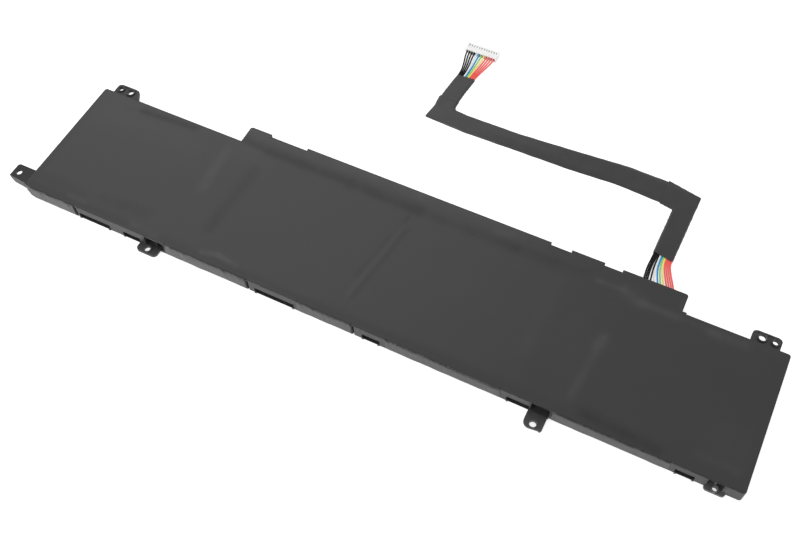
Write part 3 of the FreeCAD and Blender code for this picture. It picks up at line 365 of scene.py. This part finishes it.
def wrap_finish():
    """Dark harness tape: cloudy tone, darker in its right half and, from a little further left,
    painted shade along its front side, where the tape slopes away from the bundle."""
    finish = Finish("wrap_tape", WRAP, 0.5)
    cloud = finish.noise(90.0, 3.0)
    fine = finish.noise(1500.0, 2.0)
    base = finish.mix(cloud * 0.7 + fine * 0.3, shade(WRAP, 0.85), shade(WRAP, 1.18))
    along, back = finish.axis("X"), finish.axis("Y")
    # Darker in the right half, and painted shade along the front side
    darker_right_and_painted_front_shade = along.ramp(DARKER_RIGHT_START, DARKER_RIGHT_FULL)
    front_side = back.ramp(FRONT_SIDE_START, FRONT_SIDE_FULL)
    front_side = front_side * along.ramp(PAINTED_FRONT_SHADE_START, PAINTED_FRONT_SHADE_FULL)
    darker_right_and_painted_front_shade = darker_right_and_painted_front_shade + front_side * (1 - darker_right_and_painted_front_shade)
    finish.colour(finish.mix(darker_right_and_painted_front_shade * 0.5, base, shade(WRAP, 0.3)))
    finish.rough(cloud * 0.12 + 0.42)
    finish.bump(finish.noise(1300.0, 2.0) * 0.5 + finish.noise(300.0, 2.0) * 0.5, 0.00003)
    return finish.material


def board_finish():
    """Green solder mask with faint straight traces under it."""
    colour = (0.015, 0.09, 0.035)
    finish = Finish("board", colour, 0.3)
    across = finish.axis("Y") * 5200.0
    along = finish.axis("X") * 2600.0
    traces = across.sine() * along.sine() > 0.25
    finish.colour(finish.mix(traces * 0.35, colour, (0.03, 0.16, 0.07)))
    finish.bump(traces, 0.00002)
    return finish.material


def nylon_finish():
    """Natural nylon: pale, slightly clear, with a soft sheen."""
    colour = (0.9, 0.9, 0.89)
    finish = Finish("plug_nylon", colour, 0.35, Subsurface_Weight=0.35, Subsurface_Scale=0.001)
    finish.shader.inputs["Subsurface Radius"].default_value = (1.0, 1.0, 0.9)
    patches = finish.noise(700.0, 2.0)
    finish.colour(finish.mix(patches, shade(colour, 0.95), shade(colour, 1.04)))
    finish.rough(patches * 0.1 + 0.3)
    finish.bump(finish.noise(2500.0, 1.0), 0.00002)
    return finish.material


def wire_finish(name, colour):
    """Smooth wire insulation with slight scuffs; the black one is duller."""
    roughness = 0.85 if name == "black" else 0.5
    finish = Finish("wire_" + name, colour, roughness, IOR=1.35)
    scuffs = finish.noise(900.0, 3.0)
    finish.colour(finish.mix(scuffs, shade(colour, 0.92), shade(colour, 1.06)))
    finish.rough(scuffs * 0.16 + (roughness - 0.08))
    finish.bump(finish.noise(1200.0, 2.0), 0.000005)
    return finish.material


WIRE_COLOURS = {
    "black": (0.008, 0.008, 0.009),
    "white": (0.92, 0.92, 0.92),
    "blue": (0.01, 0.3, 0.65),
    "green": (0.34, 0.68, 0.2),
    "yellow": (0.98, 0.82, 0.19),
    "red": (0.94, 0.14, 0.12),
}
WIRE_ORDER = ["black"] * 4 + ["white", "blue", "green", "yellow"] + ["red"] * 4


def make_finishes():
    """One finish for each material slot of the record."""
    finishes = {
        "film": film_finish(),
        "frame_plastic": plastic_finish(),
        "wrap_tape": wrap_finish(),
        "board": board_finish(),
        "plug_nylon": nylon_finish(),
        "pouch": mottled("pouch", (0.55, 0.56, 0.58), 0.4, 0.08, Metallic=0.8),
        "tab_metal": mottled("tab_metal", (0.68, 0.68, 0.69), 0.3, 0.06, Metallic=1.0),
        "strip_metal": mottled("strip_metal", (0.6, 0.58, 0.54), 0.35, 0.08, Metallic=1.0),
        "mounting_tape": mottled("mounting_tape", (0.72, 0.72, 0.7), 0.7),
        "amber_tape": mottled("amber_tape", (0.5, 0.24, 0.03), 0.25),
        "chip_body": mottled("chip_body", (0.02, 0.02, 0.022), 0.55),
        "resistor": mottled("resistor", (0.05, 0.05, 0.06), 0.4),
        "fuse_body": mottled("fuse_body", (0.55, 0.52, 0.46), 0.5),
        "thermistor_body": mottled("thermistor_body", (0.08, 0.06, 0.05), 0.5),
        "solder": mottled("solder", (0.62, 0.62, 0.63), 0.3, 0.1, 1500.0, Metallic=1.0),
        "contact_metal": mottled("contact_metal", (0.6, 0.6, 0.58), 0.28, 0.08, Metallic=1.0),
    }
    for name, colour in WIRE_COLOURS.items():
        finishes["wire_" + name] = wire_finish(name, colour)
    return finishes


def dress(piece, finish):
    piece.data.materials.clear()
    piece.data.materials.append(finish)


def dress_nodes(finishes):
    """Give each carried-over node the finish that its slot in the record names."""
    for part in frame["record"]["subparts"]:
        dress(frame["nodes"][part["node"]], finishes[part["material_slot"]])


# Harness

# The same route as in the pack's source, measured from the left end of the cable notch
# at the back of the bay
HARNESS = np.array([256.45, 71.0, 0.0])
BUNDLE_ROUTE = [
    (4.50, 15.05), (4.72, 24.14), (4.74, 32.94), (4.91, 39.62), (5.05, 43.77),
    (3.50, 46.84), (0.67, 48.76), (-3.10, 49.07), (-9.58, 49.71), (-20.55, 50.37),
    (-35.52, 50.32), (-52.48, 49.26), (-69.94, 48.40), (-86.42, 48.04), (-97.41, 48.00),
    (-104.01, 48.12), (-107.91, 48.25), (-111.08, 50.35), (-112.72, 53.81), (-112.33, 57.75),
    (-111.92, 63.60), (-110.67, 75.20),
]
BUNDLE_HEIGHT = 0.45
EXIT_X = [1.1, 1.85, 2.6, 3.9, 5.6, 7.3, 8.5, 9.8, 11.1, 12.1, 13.05, 13.9]
BEND_1_X = [0.7, 1.45, 2.2, 3.4, 4.6, 5.9, 7.1, 8.3, 9.5, 10.5, 11.5, 12.45]
BEND_2_X = [0.35, 1.1, 1.8, 2.8, 3.65, 4.45, 5.5, 6.45, 7.4, 8.3, 9.2, 10.1]
EXIT = (1.1, 3.35)
BEND_1 = (5.0, 2.3)
BEND_2 = (10.3, 1.05)
JOINT_START = (1.1, -5.3, 3.5)
JOINT_PITCH = 1.15
JOINT_RUN = 2.9
FAN = (-110.31, 81.4, 0.62)
FAN_PITCH = 0.93
PLUG_CENTRE_X = -110.15
PLUG_END = (89.85, 1.3)
PLUG_RUN = 2.8
PLUG_PITCH = 1.25
WIRE_PITCH = 0.7
WIRE_RADIUS = 0.36
WIRE_COUNT = 12


def beside(route, offset):
    """The line at an equal distance to the right of a route in the plane: each corner
    moves along its bisector by the offset over the cosine of half the turn."""
    points = np.asarray(route, float)
    steps = np.diff(points, axis=0)
    headings = np.unwrap(np.arctan2(steps[:, 1], steps[:, 0]))
    way_in = np.concatenate([headings[:1], headings])
    way_out = np.concatenate([headings, headings[-1:]])
    half = (way_out - way_in) / 2
    reach = offset / np.cos(half)
    heading = way_in + half
    return points + reach[:, None] * np.stack([np.sin(heading), -np.cos(heading)], -1)


def wire_route(index):
    """Points of one wire from its joint on the board to its contact in the plug."""
    place_in_row = index - (WIRE_COUNT - 1) / 2
    joint_x = JOINT_START[0] + index * JOINT_PITCH
    joint_y, joint_z = JOINT_START[1:]
    points = [
        (joint_x, joint_y, joint_z),
        (joint_x, joint_y + JOINT_RUN, joint_z),
        (EXIT_X[index], *EXIT),
        (BEND_1_X[index], *BEND_1),
        (BEND_2_X[index], *BEND_2),
    ]
    points += [(x, y, BUNDLE_HEIGHT) for x, y in beside(BUNDLE_ROUTE, place_in_row * WIRE_PITCH)]
    points.append((FAN[0] + place_in_row * FAN_PITCH, FAN[1], FAN[2]))
    end_x = PLUG_CENTRE_X + place_in_row * PLUG_PITCH
    end_y, end_z = PLUG_END
    points += [(end_x, end_y - PLUG_RUN, end_z), (end_x, end_y, end_z)]
    return (np.array(points) + HARNESS - ORIGIN) / 1000.0


def add_wire(index, finishes):
    """One insulated wire on a smooth spline whose control points are its route."""
    name = f"wire_{index + 1}"
    curve = bpy.data.curves.new(name + "_line", "CURVE")
    curve.dimensions = "3D"
    curve.bevel_depth = WIRE_RADIUS / 1000.0
    curve.bevel_resolution = 4
    curve.use_fill_caps = True
    curve.resolution_u = 8
    points = wire_route(index)
    spline = curve.splines.new("NURBS")
    spline.points.add(len(points) - 1)
    spline.points.foreach_set("co", np.c_[points, np.ones(len(points))].ravel())
    spline.order_u = 3
    spline.use_endpoint_u = True
    wire = bpy.data.objects.new(name + "_lead", curve)
    bpy.context.scene.collection.objects.link(wire)
    wire.data.materials.append(finishes["wire_" + WIRE_ORDER[index]])
    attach(wire, "root")
    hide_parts(name)
    return wire, points[0]


# Flat wrap of tape round the wires


def resample(line, spots):
    """Points on a line of straight runs at shares of its length."""
    line = np.asarray(line, float)
    lengths = np.linalg.norm(np.diff(line, axis=0), axis=1)
    along = np.concatenate([[0.0], np.cumsum(lengths)]) / lengths.sum()
    return np.stack([np.interp(spots, along, line[:, axis]) for axis in (0, 1)], -1)


def smooth_route(count):
    """Centre line of the bundle: the quadratic B-spline whose control points are the
    route, each span (a + b)/2 (1-t)^2 + 2 b t(1-t) + (b + c)/2 t^2."""
    route = np.array(BUNDLE_ROUTE)
    t = np.linspace(0.0, 1.0, count)[None, :, None]
    before, middle, after = (route[start:len(route) - 2 + start, None, :] for start in range(3))
    spans = (before + middle) / 2 * (1 - t) ** 2
    spans = spans + middle * 2 * t * (1 - t) + (middle + after) / 2 * t ** 2
    return np.concatenate([route[:1], spans.reshape(-1, 2), route[-1:]])


def distance_to_bundle(x, y):
    """Signed distance of each point from the centre line of the bundle, right positive."""
    line = smooth_route(12)
    line = line[np.r_[True, np.linalg.norm(np.diff(line, axis=0), axis=1) > 1e-6]]
    start, step = line[:-1], np.diff(line, axis=0)
    flat = np.stack([x.ravel(), y.ravel()], -1)
    best = np.full(len(flat), 1e9)
    signed = np.zeros(len(flat))
    for (ax, ay), (dx, dy) in zip(start, step):
        share = ((flat[:, 0] - ax) * dx + (flat[:, 1] - ay) * dy) / (dx * dx + dy * dy)
        share = np.clip(share, 0, 1)
        off_x, off_y = flat[:, 0] - ax - share * dx, flat[:, 1] - ay - share * dy
        gap = np.hypot(off_x, off_y)
        closer = gap < best
        side = np.sign(off_x * dy - off_y * dx)
        best = np.where(closer, gap, best)
        signed = np.where(closer, side * gap, signed)
    return signed.reshape(x.shape)


TAPE_THICKNESS = 0.08
SLEEVE_UNDERSIDE = 0.085
SLEEVE_EDGE = 0.16
TAPE_ON_TAPE = 0.25
OVER_WIRES = 0.50
WIRE_RIPPLE = 0.035
EDGE_WANDER = 0.005
WRAP_ROWS, WRAP_COLUMNS = 150, 34

# Each piece of tape as the two side lines that run along it, and how far its top is
# lifted, so that it lies over its neighbour
WRAP_PIECES = {
    "wrap_pack_end": {
        "left": [(0.11, 17.97), (0.47, 42.45), (-5.68, 43.46)],
        "right": [(9.02, 16.15), (9.80, 53.39), (-5.68, 56.70)],
        "lift": 0.10,
    },
    "wrap_middle": {
        "left": [(-5.08, 43.82), (-26.01, 44.98), (-46.55, 43.87), (-70.90, 43.62),
                 (-98.36, 43.27), (-118.26, 44.3), (-117.55, 48.6), (-117.1, 52.4),
                 (-117.45, 58.55)],
        "right": [(-5.08, 56.04), (-24.07, 56.45), (-45.03, 54.93), (-74.97, 53.01),
                  (-98.96, 52.86), (-105.96, 53.12), (-107.17, 53.93), (-107.63, 55.45),
                  (-107.41, 58.40)],
        "lift": 0.0,
    },
    "wrap_plug_end": {
        "left": [(-116.87, 57.80), (-116.42, 63.59), (-115.33, 73.46)],
        "right": [(-107.76, 57.80), (-107.42, 63.59), (-106.27, 73.97)],
        "lift": 0.06,
    },
}


def wrap_height(x, y, across, lift):
    """Top of the wrap: high over the row of wires, lower where only tape meets tape, and
    lowest at both edges. Added to it are a slow unevenness and a ripple
    -cos(2 pi distance / pitch), which is highest over each wire, because the centre line
    runs between the sixth wire and the seventh."""
    gap = distance_to_bundle(x, y)
    near = 1.0 - smoothstep(np.abs(gap), 3.3, 6.6)
    ripple = -WIRE_RIPPLE * np.cos(gap / WIRE_PITCH * math.tau) * near
    uneven = 0.05 * waves(x, y, 6, 14.0, 5) + 0.02 * waves(x, y, 6, 5.0, 6)
    edge = smoothstep(np.minimum(across, 1.0 - across), 0.0, 0.06)
    raised = TAPE_ON_TAPE + OVER_WIRES * near + ripple + uneven * (0.4 + near)
    return SLEEVE_EDGE + lift + edge * raised


def add_wrap(name, finishes):
    """A sleeve: the ruled surface left (1 - s) + right s between its two side lines, with
    s packed closer towards both edges, laid over the wires and closed below by the same
    surface just above the ground. Its edges wander by a small share of its width."""
    shape = WRAP_PIECES[name]
    spots = np.linspace(0.0, 1.0, WRAP_ROWS)
    left, right = resample(shape["left"], spots)[:, None], resample(shape["right"], spots)[:, None]
    turn = np.cos(np.linspace(0.0, 1.0, WRAP_COLUMNS) * math.pi)
    across = (0.5 - 0.5 * turn * (0.55 + 0.45 * np.abs(turn)))[None, :, None]
    rag = EDGE_WANDER * waves(spots * 90.0, spots * 0.0, 5, 7.0, 21)[:, None, None]
    plan = left * (1.0 - across) + right * across + (right - left) * rag * (2.0 * across - 1.0)
    x, y = plan[..., 0], plan[..., 1]
    top = wrap_height(x, y, across[..., 0] + 0.0 * x, shape["lift"])
    base = np.full_like(top, SLEEVE_UNDERSIDE)
    ring_x = np.concatenate([x, x[:, ::-1]], 1)
    ring_y = np.concatenate([y, y[:, ::-1]], 1)
    ring_z = np.concatenate([top, base], 1)
    points = np.stack([ring_x, ring_y, ring_z], -1).reshape(-1, 3) + HARNESS
    index = numbered(ring_x.shape)
    index = np.concatenate([index, index[:, :1]], 1)
    faces = quads(index).reshape(-1, 4)[:, [0, 3, 2, 1]]
    piece = put_mesh(name + "_sleeve", points, faces)
    add_wall(piece, TAPE_THICKNESS)
    dress(piece, finishes["wrap_tape"])
    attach(piece, "root")
    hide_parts(name)
    return piece


# Film over the cells

CELLS = [(1.5, 68.5), (86.5, 153.5), (159.5, 226.5), (251.5, 318.5)]
CELL_BACK = 60.7
BAY_LEFT, BAY_RIGHT = 73.1, 276.4
NOTCH_DEPTH = 1.3
NOTCHES = [(83.75, 102.2), (217.7, 226.75), (241.15, 248.9)]
FLAPS = [(3.8, 26.4), (72.6, 112.2), (136.1, 160.95), (176.2, 225.2), (245.9, 292.4)]
CORNER_ROUND = 1.1
CORNER_CUT = (3.8, 0.7)
BACK_CORNERS = [
    ((0.0, FRAME_DEPTH), (1, -1)),
    ((FRAME_LENGTH, FRAME_DEPTH), (-1, -1)),
    ((BAY_LEFT, BAY_BACK), (1, -1)),
    ((BAY_RIGHT, BAY_BACK), (-1, -1)),
]
FILM_TOP = 6.83
FILM_RAISE = 0.27
FILM_THICKNESS = 0.18
FLAP_BOTTOM = 0.45
RIM_RISE = 3.6
GAP_SAGS = (0.07, 0.03, 0.09)
BAY_SAG, BAY_SLOPE = 0.16, 3.0
CREASE_HEIGHT = 0.18
GRID_STEP_X, GRID_STEP_Y = 0.6, 1.2
TOP_FRONT = 1.2
BEND, WIDEST_BEND = 0.5, 1.3
RAGGED_BEND = 0.09
UNEVEN_FOOT = 0.18
FLAP_BULGE = 0.07


def spaced(low, high, step, marks, near=0.3):
    """Even grid lines from low to high, with every mark on a line of its own."""
    lines = np.arange(low, high + step / 2, step)
    marks = np.array(sorted(marks))
    far = np.abs(lines[:, None] - marks[None, :]).min(1) > near
    return np.unique(np.concatenate([lines[far], marks]))


def round_corner(x, y, corner, inwards, radius):
    """Bend the square of a corner to a quarter disc: u' = u sqrt(1 - w^2/2) and
    w' = w sqrt(1 - u^2/2), with u and w from 0 inside to 1 at the two edges."""
    u = 1.0 - (x - corner[0]) * inwards[0] / radius
    w = 1.0 - (y - corner[1]) * inwards[1] / radius
    inside = (u > 0) & (w > 0) & (u <= 1.0001) & (w <= 1.0001)
    u_new = u * np.sqrt(np.clip(1.0 - w * w / 2, 0, 1))
    w_new = w * np.sqrt(np.clip(1.0 - u * u / 2, 0, 1))
    x_new = corner[0] + inwards[0] * radius * (1.0 - u_new)
    y_new = corner[1] + inwards[1] * radius * (1.0 - w_new)
    return np.where(inside, x_new, x), np.where(inside, y_new, y)


def film_height(x, y):
    """Top of the film: it rises from the rim to the cells by smooth steps, sags by
    sin(pi share)^2 across each gap between two cells, drops again to the bay behind them,
    and has slow and quick waves away from its edges."""
    rise = between(x, 0.0, RIM_RISE, FRAME_LENGTH - RIM_RISE, FRAME_LENGTH)
    rise = rise * between(y, 0.4, 4.6, CELL_BACK - 2.6, CELL_BACK + 0.9)
    z = FILM_TOP + FILM_RAISE * rise
    over_cells = between(y, 2.0, 12.0, 50.0, 60.0)
    for (_, start), (end, _), sag in zip(CELLS, CELLS[1:], GAP_SAGS):
        share = np.clip((x - start) / (end - start), 0.0, 1.0)
        z = z - sag * over_cells * np.sin(math.pi * share) ** 2
    over_bay = between(x, BAY_LEFT, BAY_LEFT + BAY_SLOPE, BAY_RIGHT - BAY_SLOPE, BAY_RIGHT)
    z = z - BAY_SAG * over_bay * between(y, 61.6, 64.2, 66.8, 69.6)
    away = between(y, 0.5, 5.0, 57.0, 61.5) * between(x, 0.5, 5.0, 315.0, 319.5)
    slow, quick = waves(x, y, 9, 60.0, 31), waves(x, y, 8, 20.0, 32)
    return z + away * (0.03 * slow + 0.005 * quick)


# Creases and hollows that the film shows: both ends of each, its half width, and how far
# it is raised and painted paler as painted highlight (above 0) or sunk and painted darker
# as painted shade (below 0)
CREASES = [
    (9.4, 49.2, 53.0, 49.8, 8.0, 0.14),
    (23.7, 57.6, 51.1, 59.4, 1.7, -0.50),
    (4.8, 7.1, 26.2, 6.8, 3.0, -0.18),
    (36.3, 8.7, 56.5, 10.4, 3.0, -0.18),
    (21.5, 3.8, 29.7, 3.4, 1.3, 0.32),
    (54.8, 2.9, 66.6, 2.2, 1.6, 0.26),
    (70.4, 55.1, 71.5, 32.5, 2.6, 0.30),
    (87.1, 50.1, 85.1, 15.4, 3.0, -0.26),
    (76.5, 57.1, 87.7, 53.8, 5.0, 0.12),
    (74.4, 63.2, 86.7, 62.2, 2.0, -0.40),
    (88.7, 62.0, 128.0, 62.1, 2.7, -0.50),
    (130.0, 62.0, 161.1, 61.6, 3.0, -0.50),
    (75.2, 68.6, 157.1, 69.4, 2.9, 0.34),
    (158.6, 56.3, 152.6, 22.0, 1.3, -0.24),
    (158.0, 52.0, 153.8, 12.0, 1.6, 0.20),
    (161.2, 50.1, 155.6, 12.2, 1.4, -0.18),
    (88.9, 3.4, 95.4, 5.4, 1.0, 0.50),
    (96.4, 5.4, 105.7, 4.0, 1.0, 0.50),
    (114.6, 0.4, 140.5, 5.4, 1.5, 0.10),
    (227.6, 54.9, 227.1, 19.6, 3.2, 0.08),
    (252.9, 37.8, 251.9, 33.4, 2.4, 0.36),
    (252.1, 30.1, 250.3, 8.2, 1.8, 0.24),
    (241.5, 61.8, 252.1, 62.2, 1.4, 0.30),
    (253.1, 61.8, 260.1, 59.2, 2.9, 0.34),
    (261.1, 59.1, 274.9, 58.9, 1.7, 0.40),
    (233.5, 63.4, 240.8, 66.9, 0.8, -0.15),
    (194.9, 65.5, 202.5, 67.4, 1.4, 0.22),
    (277.3, 59.6, 291.8, 58.0, 1.6, 0.18),
    (289.8, 58.4, 302.3, 58.2, 2.4, 0.34),
    (256.5, 4.6, 286.0, 2.2, 2.5, -0.26),
    (300.1, 7.0, 315.5, 7.2, 1.8, 0.14),
    (306.3, 19.6, 315.1, 12.3, 7.0, 0.06),
    (163.1, 61.6, 205.0, 62.2, 2.6, -0.26),
    (159.1, 69.4, 205.0, 69.2, 2.6, 0.22),
    (208.0, 62.3, 222.0, 62.6, 2.6, -0.17),
    (223.5, 62.7, 236.0, 63.0, 2.4, -0.08),
    (208.0, 69.1, 215.0, 69.0, 2.4, 0.14),
]


def film_creases(x, y):
    """Sum over the creases of level exp(-(d / width)^2), where d is the distance to the
    line between the two ends, made uneven by slow and quick waves."""
    total = np.zeros(np.broadcast(x, y).shape)
    for start_x, start_y, end_x, end_y, width, level in CREASES:
        run_x, run_y = end_x - start_x, end_y - start_y
        share = ((x - start_x) * run_x + (y - start_y) * run_y) / (run_x ** 2 + run_y ** 2)
        share = np.clip(share, 0.0, 1.0)
        gap = np.hypot(x - start_x - share * run_x, y - start_y - share * run_y)
        total = total + level * np.exp(-(gap / width) ** 2)
    uneven = 0.95 + 0.16 * waves(x, y, 9, 14.0, 51) + 0.08 * waves(x, y, 9, 4.0, 52)
    return total * np.clip(uneven, 0.4, 1.4)


def bend_radius(x):
    """Radius of the bend over the front edge: it wanders round half a millimetre, grows in
    two smooth steps towards the right end, and is widest at the end of the fourth flap."""
    slow, quick = waves(x, x * 0.0, 7, 17.0, 41), waves(x, x * 0.0, 9, 2.6, 42)
    wide = 0.21 * (smoothstep(x, 160.0, 190.0) + smoothstep(x, 245.0, 275.0))
    wide = wide + 0.45 * between(x, 192.0, 222.0, 222.0, 240.0)
    uneven = 0.1 * np.clip(slow, -1.4, 1.4) + 0.12 * np.clip(quick, -1.4, 1.4)
    return np.minimum(BEND + wide + uneven, WIDEST_BEND)


def film_lines():
    """Grid lines of the top in x and in y, with each corner, notch and flap on a line, and
    a few more lines close to the left and front edges."""
    marks_x = [0.0, 0.4, 0.8, CORNER_CUT[0], FRAME_LENGTH, BAY_LEFT, BAY_RIGHT]
    marks_x += [FRAME_LENGTH - CORNER_ROUND * share for share in (0.33, 0.67, 1.0)]
    marks_x += [CORNER_ROUND, BAY_LEFT + CORNER_ROUND, BAY_RIGHT - CORNER_ROUND]
    marks_x += [x for span in NOTCHES + FLAPS for x in span]
    marks_y = [TOP_FRONT, 1.6, 2.2, 3.5, FRAME_DEPTH, BAY_BACK - NOTCH_DEPTH, BAY_BACK]
    for back in (FRAME_DEPTH, BAY_BACK):
        marks_y += [back - CORNER_ROUND * share for share in (0.5, 1.0)]
    lines_x = spaced(0.0, FRAME_LENGTH, GRID_STEP_X, set(marks_x), 0.2)
    return lines_x, spaced(TOP_FRONT, BAY_BACK, GRID_STEP_Y, set(marks_y))


def film_top(lines_x, lines_y):
    """Points of the top with its back corners rounded, and the level of its creases."""
    x, y = np.meshgrid(lines_x, lines_y, indexing="ij")
    for corner, inwards in BACK_CORNERS:
        x, y = round_corner(x, y, corner, inwards, CORNER_ROUND)
    creases = film_creases(x, y)
    return np.stack([x, y, film_height(x, y) + CREASE_HEIGHT * creases], -1), creases


def covered(mid_x, mid_y):
    """Which squares of the grid the film covers: those over the cells and over the bay,
    but for the notches in the bay's back edge."""
    mid_x, mid_y = mid_x[:, None], mid_y[None, :]
    keep = (mid_y < FRAME_DEPTH) | ((mid_x > BAY_LEFT) & (mid_x < BAY_RIGHT))
    for start, end in NOTCHES:
        keep &= ~((mid_x > start) & (mid_x < end) & (mid_y > BAY_BACK - NOTCH_DEPTH))
    return keep


def folded_flap(lines_x, edge_y):
    """Rows of points from the top down to a flap's foot: a bend r (1 - sin a) out and
    r (1 - cos a) down for angles a to a quarter turn, then straight down to an uneven foot,
    with a bulge |wave| sin(pi share). The bend is slightly ragged."""
    flat = 0.0 * lines_x
    radius = bend_radius(lines_x)
    outer = edge_y - FILM_THICKNESS
    ragged = RAGGED_BEND * np.clip(waves(lines_x, flat, 9, 2.6, 45), -1.3, 1.3) - 0.06
    foot = FLAP_BOTTOM + UNEVEN_FOOT * waves(lines_x, flat, 6, 11.0, 43)
    bulge = FLAP_BULGE * np.abs(waves(lines_x, flat, 6, 23.0, 44))
    rows = []
    for angle in np.linspace(0.0, math.pi / 2, 7)[1:]:
        reach = outer + ragged * math.sin(angle) + radius * (1.0 - math.sin(angle))
        rows.append(np.stack([lines_x, reach, FILM_TOP - radius * (1.0 - math.cos(angle))], -1))
    for share in np.linspace(0.0, 1.0, 9)[1:]:
        low = (FILM_TOP - radius) * (1.0 - share) + foot * share
        swell = ragged * (1.0 - share) ** 2 - bulge * math.sin(share * math.pi) - 0.02
        rows.append(np.stack([lines_x, outer + swell, low], -1))
    return np.stack(rows, 1)


def flat_lip(lines_x, edge_y, start_z):
    """Two rows of points from the top out to the edge, where no flap is folded: one
    halfway down to the level of the edge, and the edge itself."""
    halfway = np.stack([lines_x, edge_y + 0.6, (start_z + FILM_TOP) / 2], -1)
    edge = np.stack([lines_x, edge_y, FILM_TOP + 0.0 * lines_x], -1)
    return np.stack([halfway, edge], 1)


def add_film(finishes):
    """The top as a grid over x and y; at each flap a grid that turns down over the front
    edge; between flaps a flat lip to the edge. Both start from the front line of the top."""
    lines_x, lines_y = film_lines()
    mid_x, mid_y = ((lines[:-1] + lines[1:]) / 2 for lines in (lines_x, lines_y))
    top, creases = film_top(lines_x, lines_y)
    points = [top.reshape(-1, 3)]
    index = numbered(creases.shape)
    faces = [quads(index)[covered(mid_x, mid_y)][:, ::-1]]
    front_line = index[:, :1]
    count = creases.size
    edge_y = np.interp(lines_x, [0.0, CORNER_CUT[0]], [CORNER_CUT[1], 0.0])
    in_flap = np.any([(mid_x > start) & (mid_x < end) for start, end in FLAPS], 0)
    flap = folded_flap(lines_x, edge_y)
    lip = flat_lip(lines_x, edge_y, top[:, 0, 2])
    for block, mask in ((flap, in_flap), (lip, ~in_flap)):
        index = np.concatenate([front_line, numbered(block.shape[:2], count)], 1)
        faces.append(quads(index)[mask].reshape(-1, 4))
        points.append(block.reshape(-1, 3))
        count += len(points[-1])
    points = np.concatenate(points)
    turned = round_corner(points[:, 0], points[:, 1], (FRAME_LENGTH, 0.0), (-1, 1), CORNER_ROUND)
    points[:, 0], points[:, 1] = turned
    # Each point's crease level, which the film's finish turns into painted highlight and shade
    rub_and_painted_crease_shading = np.zeros(len(points))
    rub_and_painted_crease_shading[:creases.size] = creases.ravel()
    film = put_mesh("top_film_sheet", points, np.concatenate(faces), rub_and_painted_crease_shading=rub_and_painted_crease_shading)
    add_wall(film, FILM_THICKNESS)
    dress(film, finishes["film"])
    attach(film, "root")
    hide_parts("top_film")
    return film


# Floor and light

FLOOR_REACH, FLOOR_DROP = 3000.0, 0.02
FLOOR_GLOW = 0.62
WORLD_LIGHT = 0.8
LAMPS = [
    ("key", (-0.5, 0.56, 0.78), (-0.08, 0.0, 0.0), 0.8, 1.35),
    ("fill", (-0.58, -0.85, 0.33), (0.0, 0.0, 0.0), 0.7, 5.7),
]


def add_floor():
    """A pale floor that shows white to the camera and to gloss, and keeps the shadow."""
    corners = np.array([(-1, -1, 0), (1, -1, 0), (1, 1, 0), (-1, 1, 0)]) * FLOOR_REACH
    corners = corners + ORIGIN - (0, 0, FLOOR_DROP)
    floor = put_mesh("floor", corners, [(0, 1, 2, 3)], smooth=False)
    finish = Finish("floor_white", (0.8, 0.8, 0.8), 0.9)
    finish.shader.inputs["Specular IOR Level"].default_value = 0.0
    grain = finish.noise(3.0, 2.0)
    finish.colour(finish.mix(grain, (0.79, 0.79, 0.79), (0.81, 0.81, 0.81)))
    white = {"Color": (1.0, 1.0, 1.0), "Strength": FLOOR_GLOW}
    glow = finish.node("ShaderNodeEmission", None, white)
    both = finish.node("ShaderNodeAddShader", None, {
        0: Value(finish, finish.shader.outputs[0]), 1: glow,
    })
    seen = finish.node("ShaderNodeLightPath", output="Is Camera Ray")
    gloss = finish.node("ShaderNodeLightPath", output="Is Glossy Ray")
    clear = finish.node("ShaderNodeLightPath", output="Is Transmission Ray")
    shown = finish.node("ShaderNodeMixShader", None, {
        0: (seen + gloss + clear) > 0.5, 1: Value(finish, finish.shader.outputs[0]), 2: both,
    })
    output = finish.tree.nodes["Material Output"]
    finish.feed(output.inputs["Surface"], shown)
    dress(floor, finish.material)


def add_world():
    """Even grey light from all round, and white where the camera sees it."""
    world = bpy.data.worlds.new("world")
    world.use_nodes = True
    tree = world.node_tree
    light = tree.nodes["Background"]
    light.inputs["Color"].default_value = (1.0, 1.0, 1.0, 1.0)
    light.inputs["Strength"].default_value = WORLD_LIGHT
    white = tree.nodes.new("ShaderNodeBackground")
    white.inputs["Color"].default_value = (1.0, 1.0, 1.0, 1.0)
    path = tree.nodes.new("ShaderNodeLightPath")
    mix = tree.nodes.new("ShaderNodeMixShader")
    tree.links.new(path.outputs["Is Camera Ray"], mix.inputs[0])
    tree.links.new(light.outputs[0], mix.inputs[1])
    tree.links.new(white.outputs[0], mix.inputs[2])
    tree.links.new(mix.outputs[0], tree.nodes["World Output"].inputs["Surface"])
    bpy.context.scene.world = world


def add_lamp(name, place, target, size, power):
    """A square soft lamp that faces a target."""
    data = bpy.data.lights.new(name, "AREA")
    data.shape = "SQUARE"
    data.size = size
    data.energy = power
    lamp = bpy.data.objects.new(name, data)
    way = np.array(target, float) - np.array(place, float)
    flat = math.hypot(way[0], way[1])
    lamp.location = place
    lamp.rotation_euler = (math.atan2(flat, -way[2]), 0.0, math.atan2(way[1], way[0]) - math.pi / 2)
    bpy.context.scene.collection.objects.link(lamp)


def main():
    bpy.context.scene.view_settings.view_transform = "Standard"
    add_camera()
    finishes = make_finishes()
    dress_nodes(finishes)
    wires = [add_wire(index, finishes) for index in range(WIRE_COUNT)]
    sleeves = [add_wrap(name, finishes) for name in WRAP_PIECES]
    add_film(finishes)
    add_floor()
    add_world()
    for lamp in LAMPS:
        add_lamp(*lamp)


main()
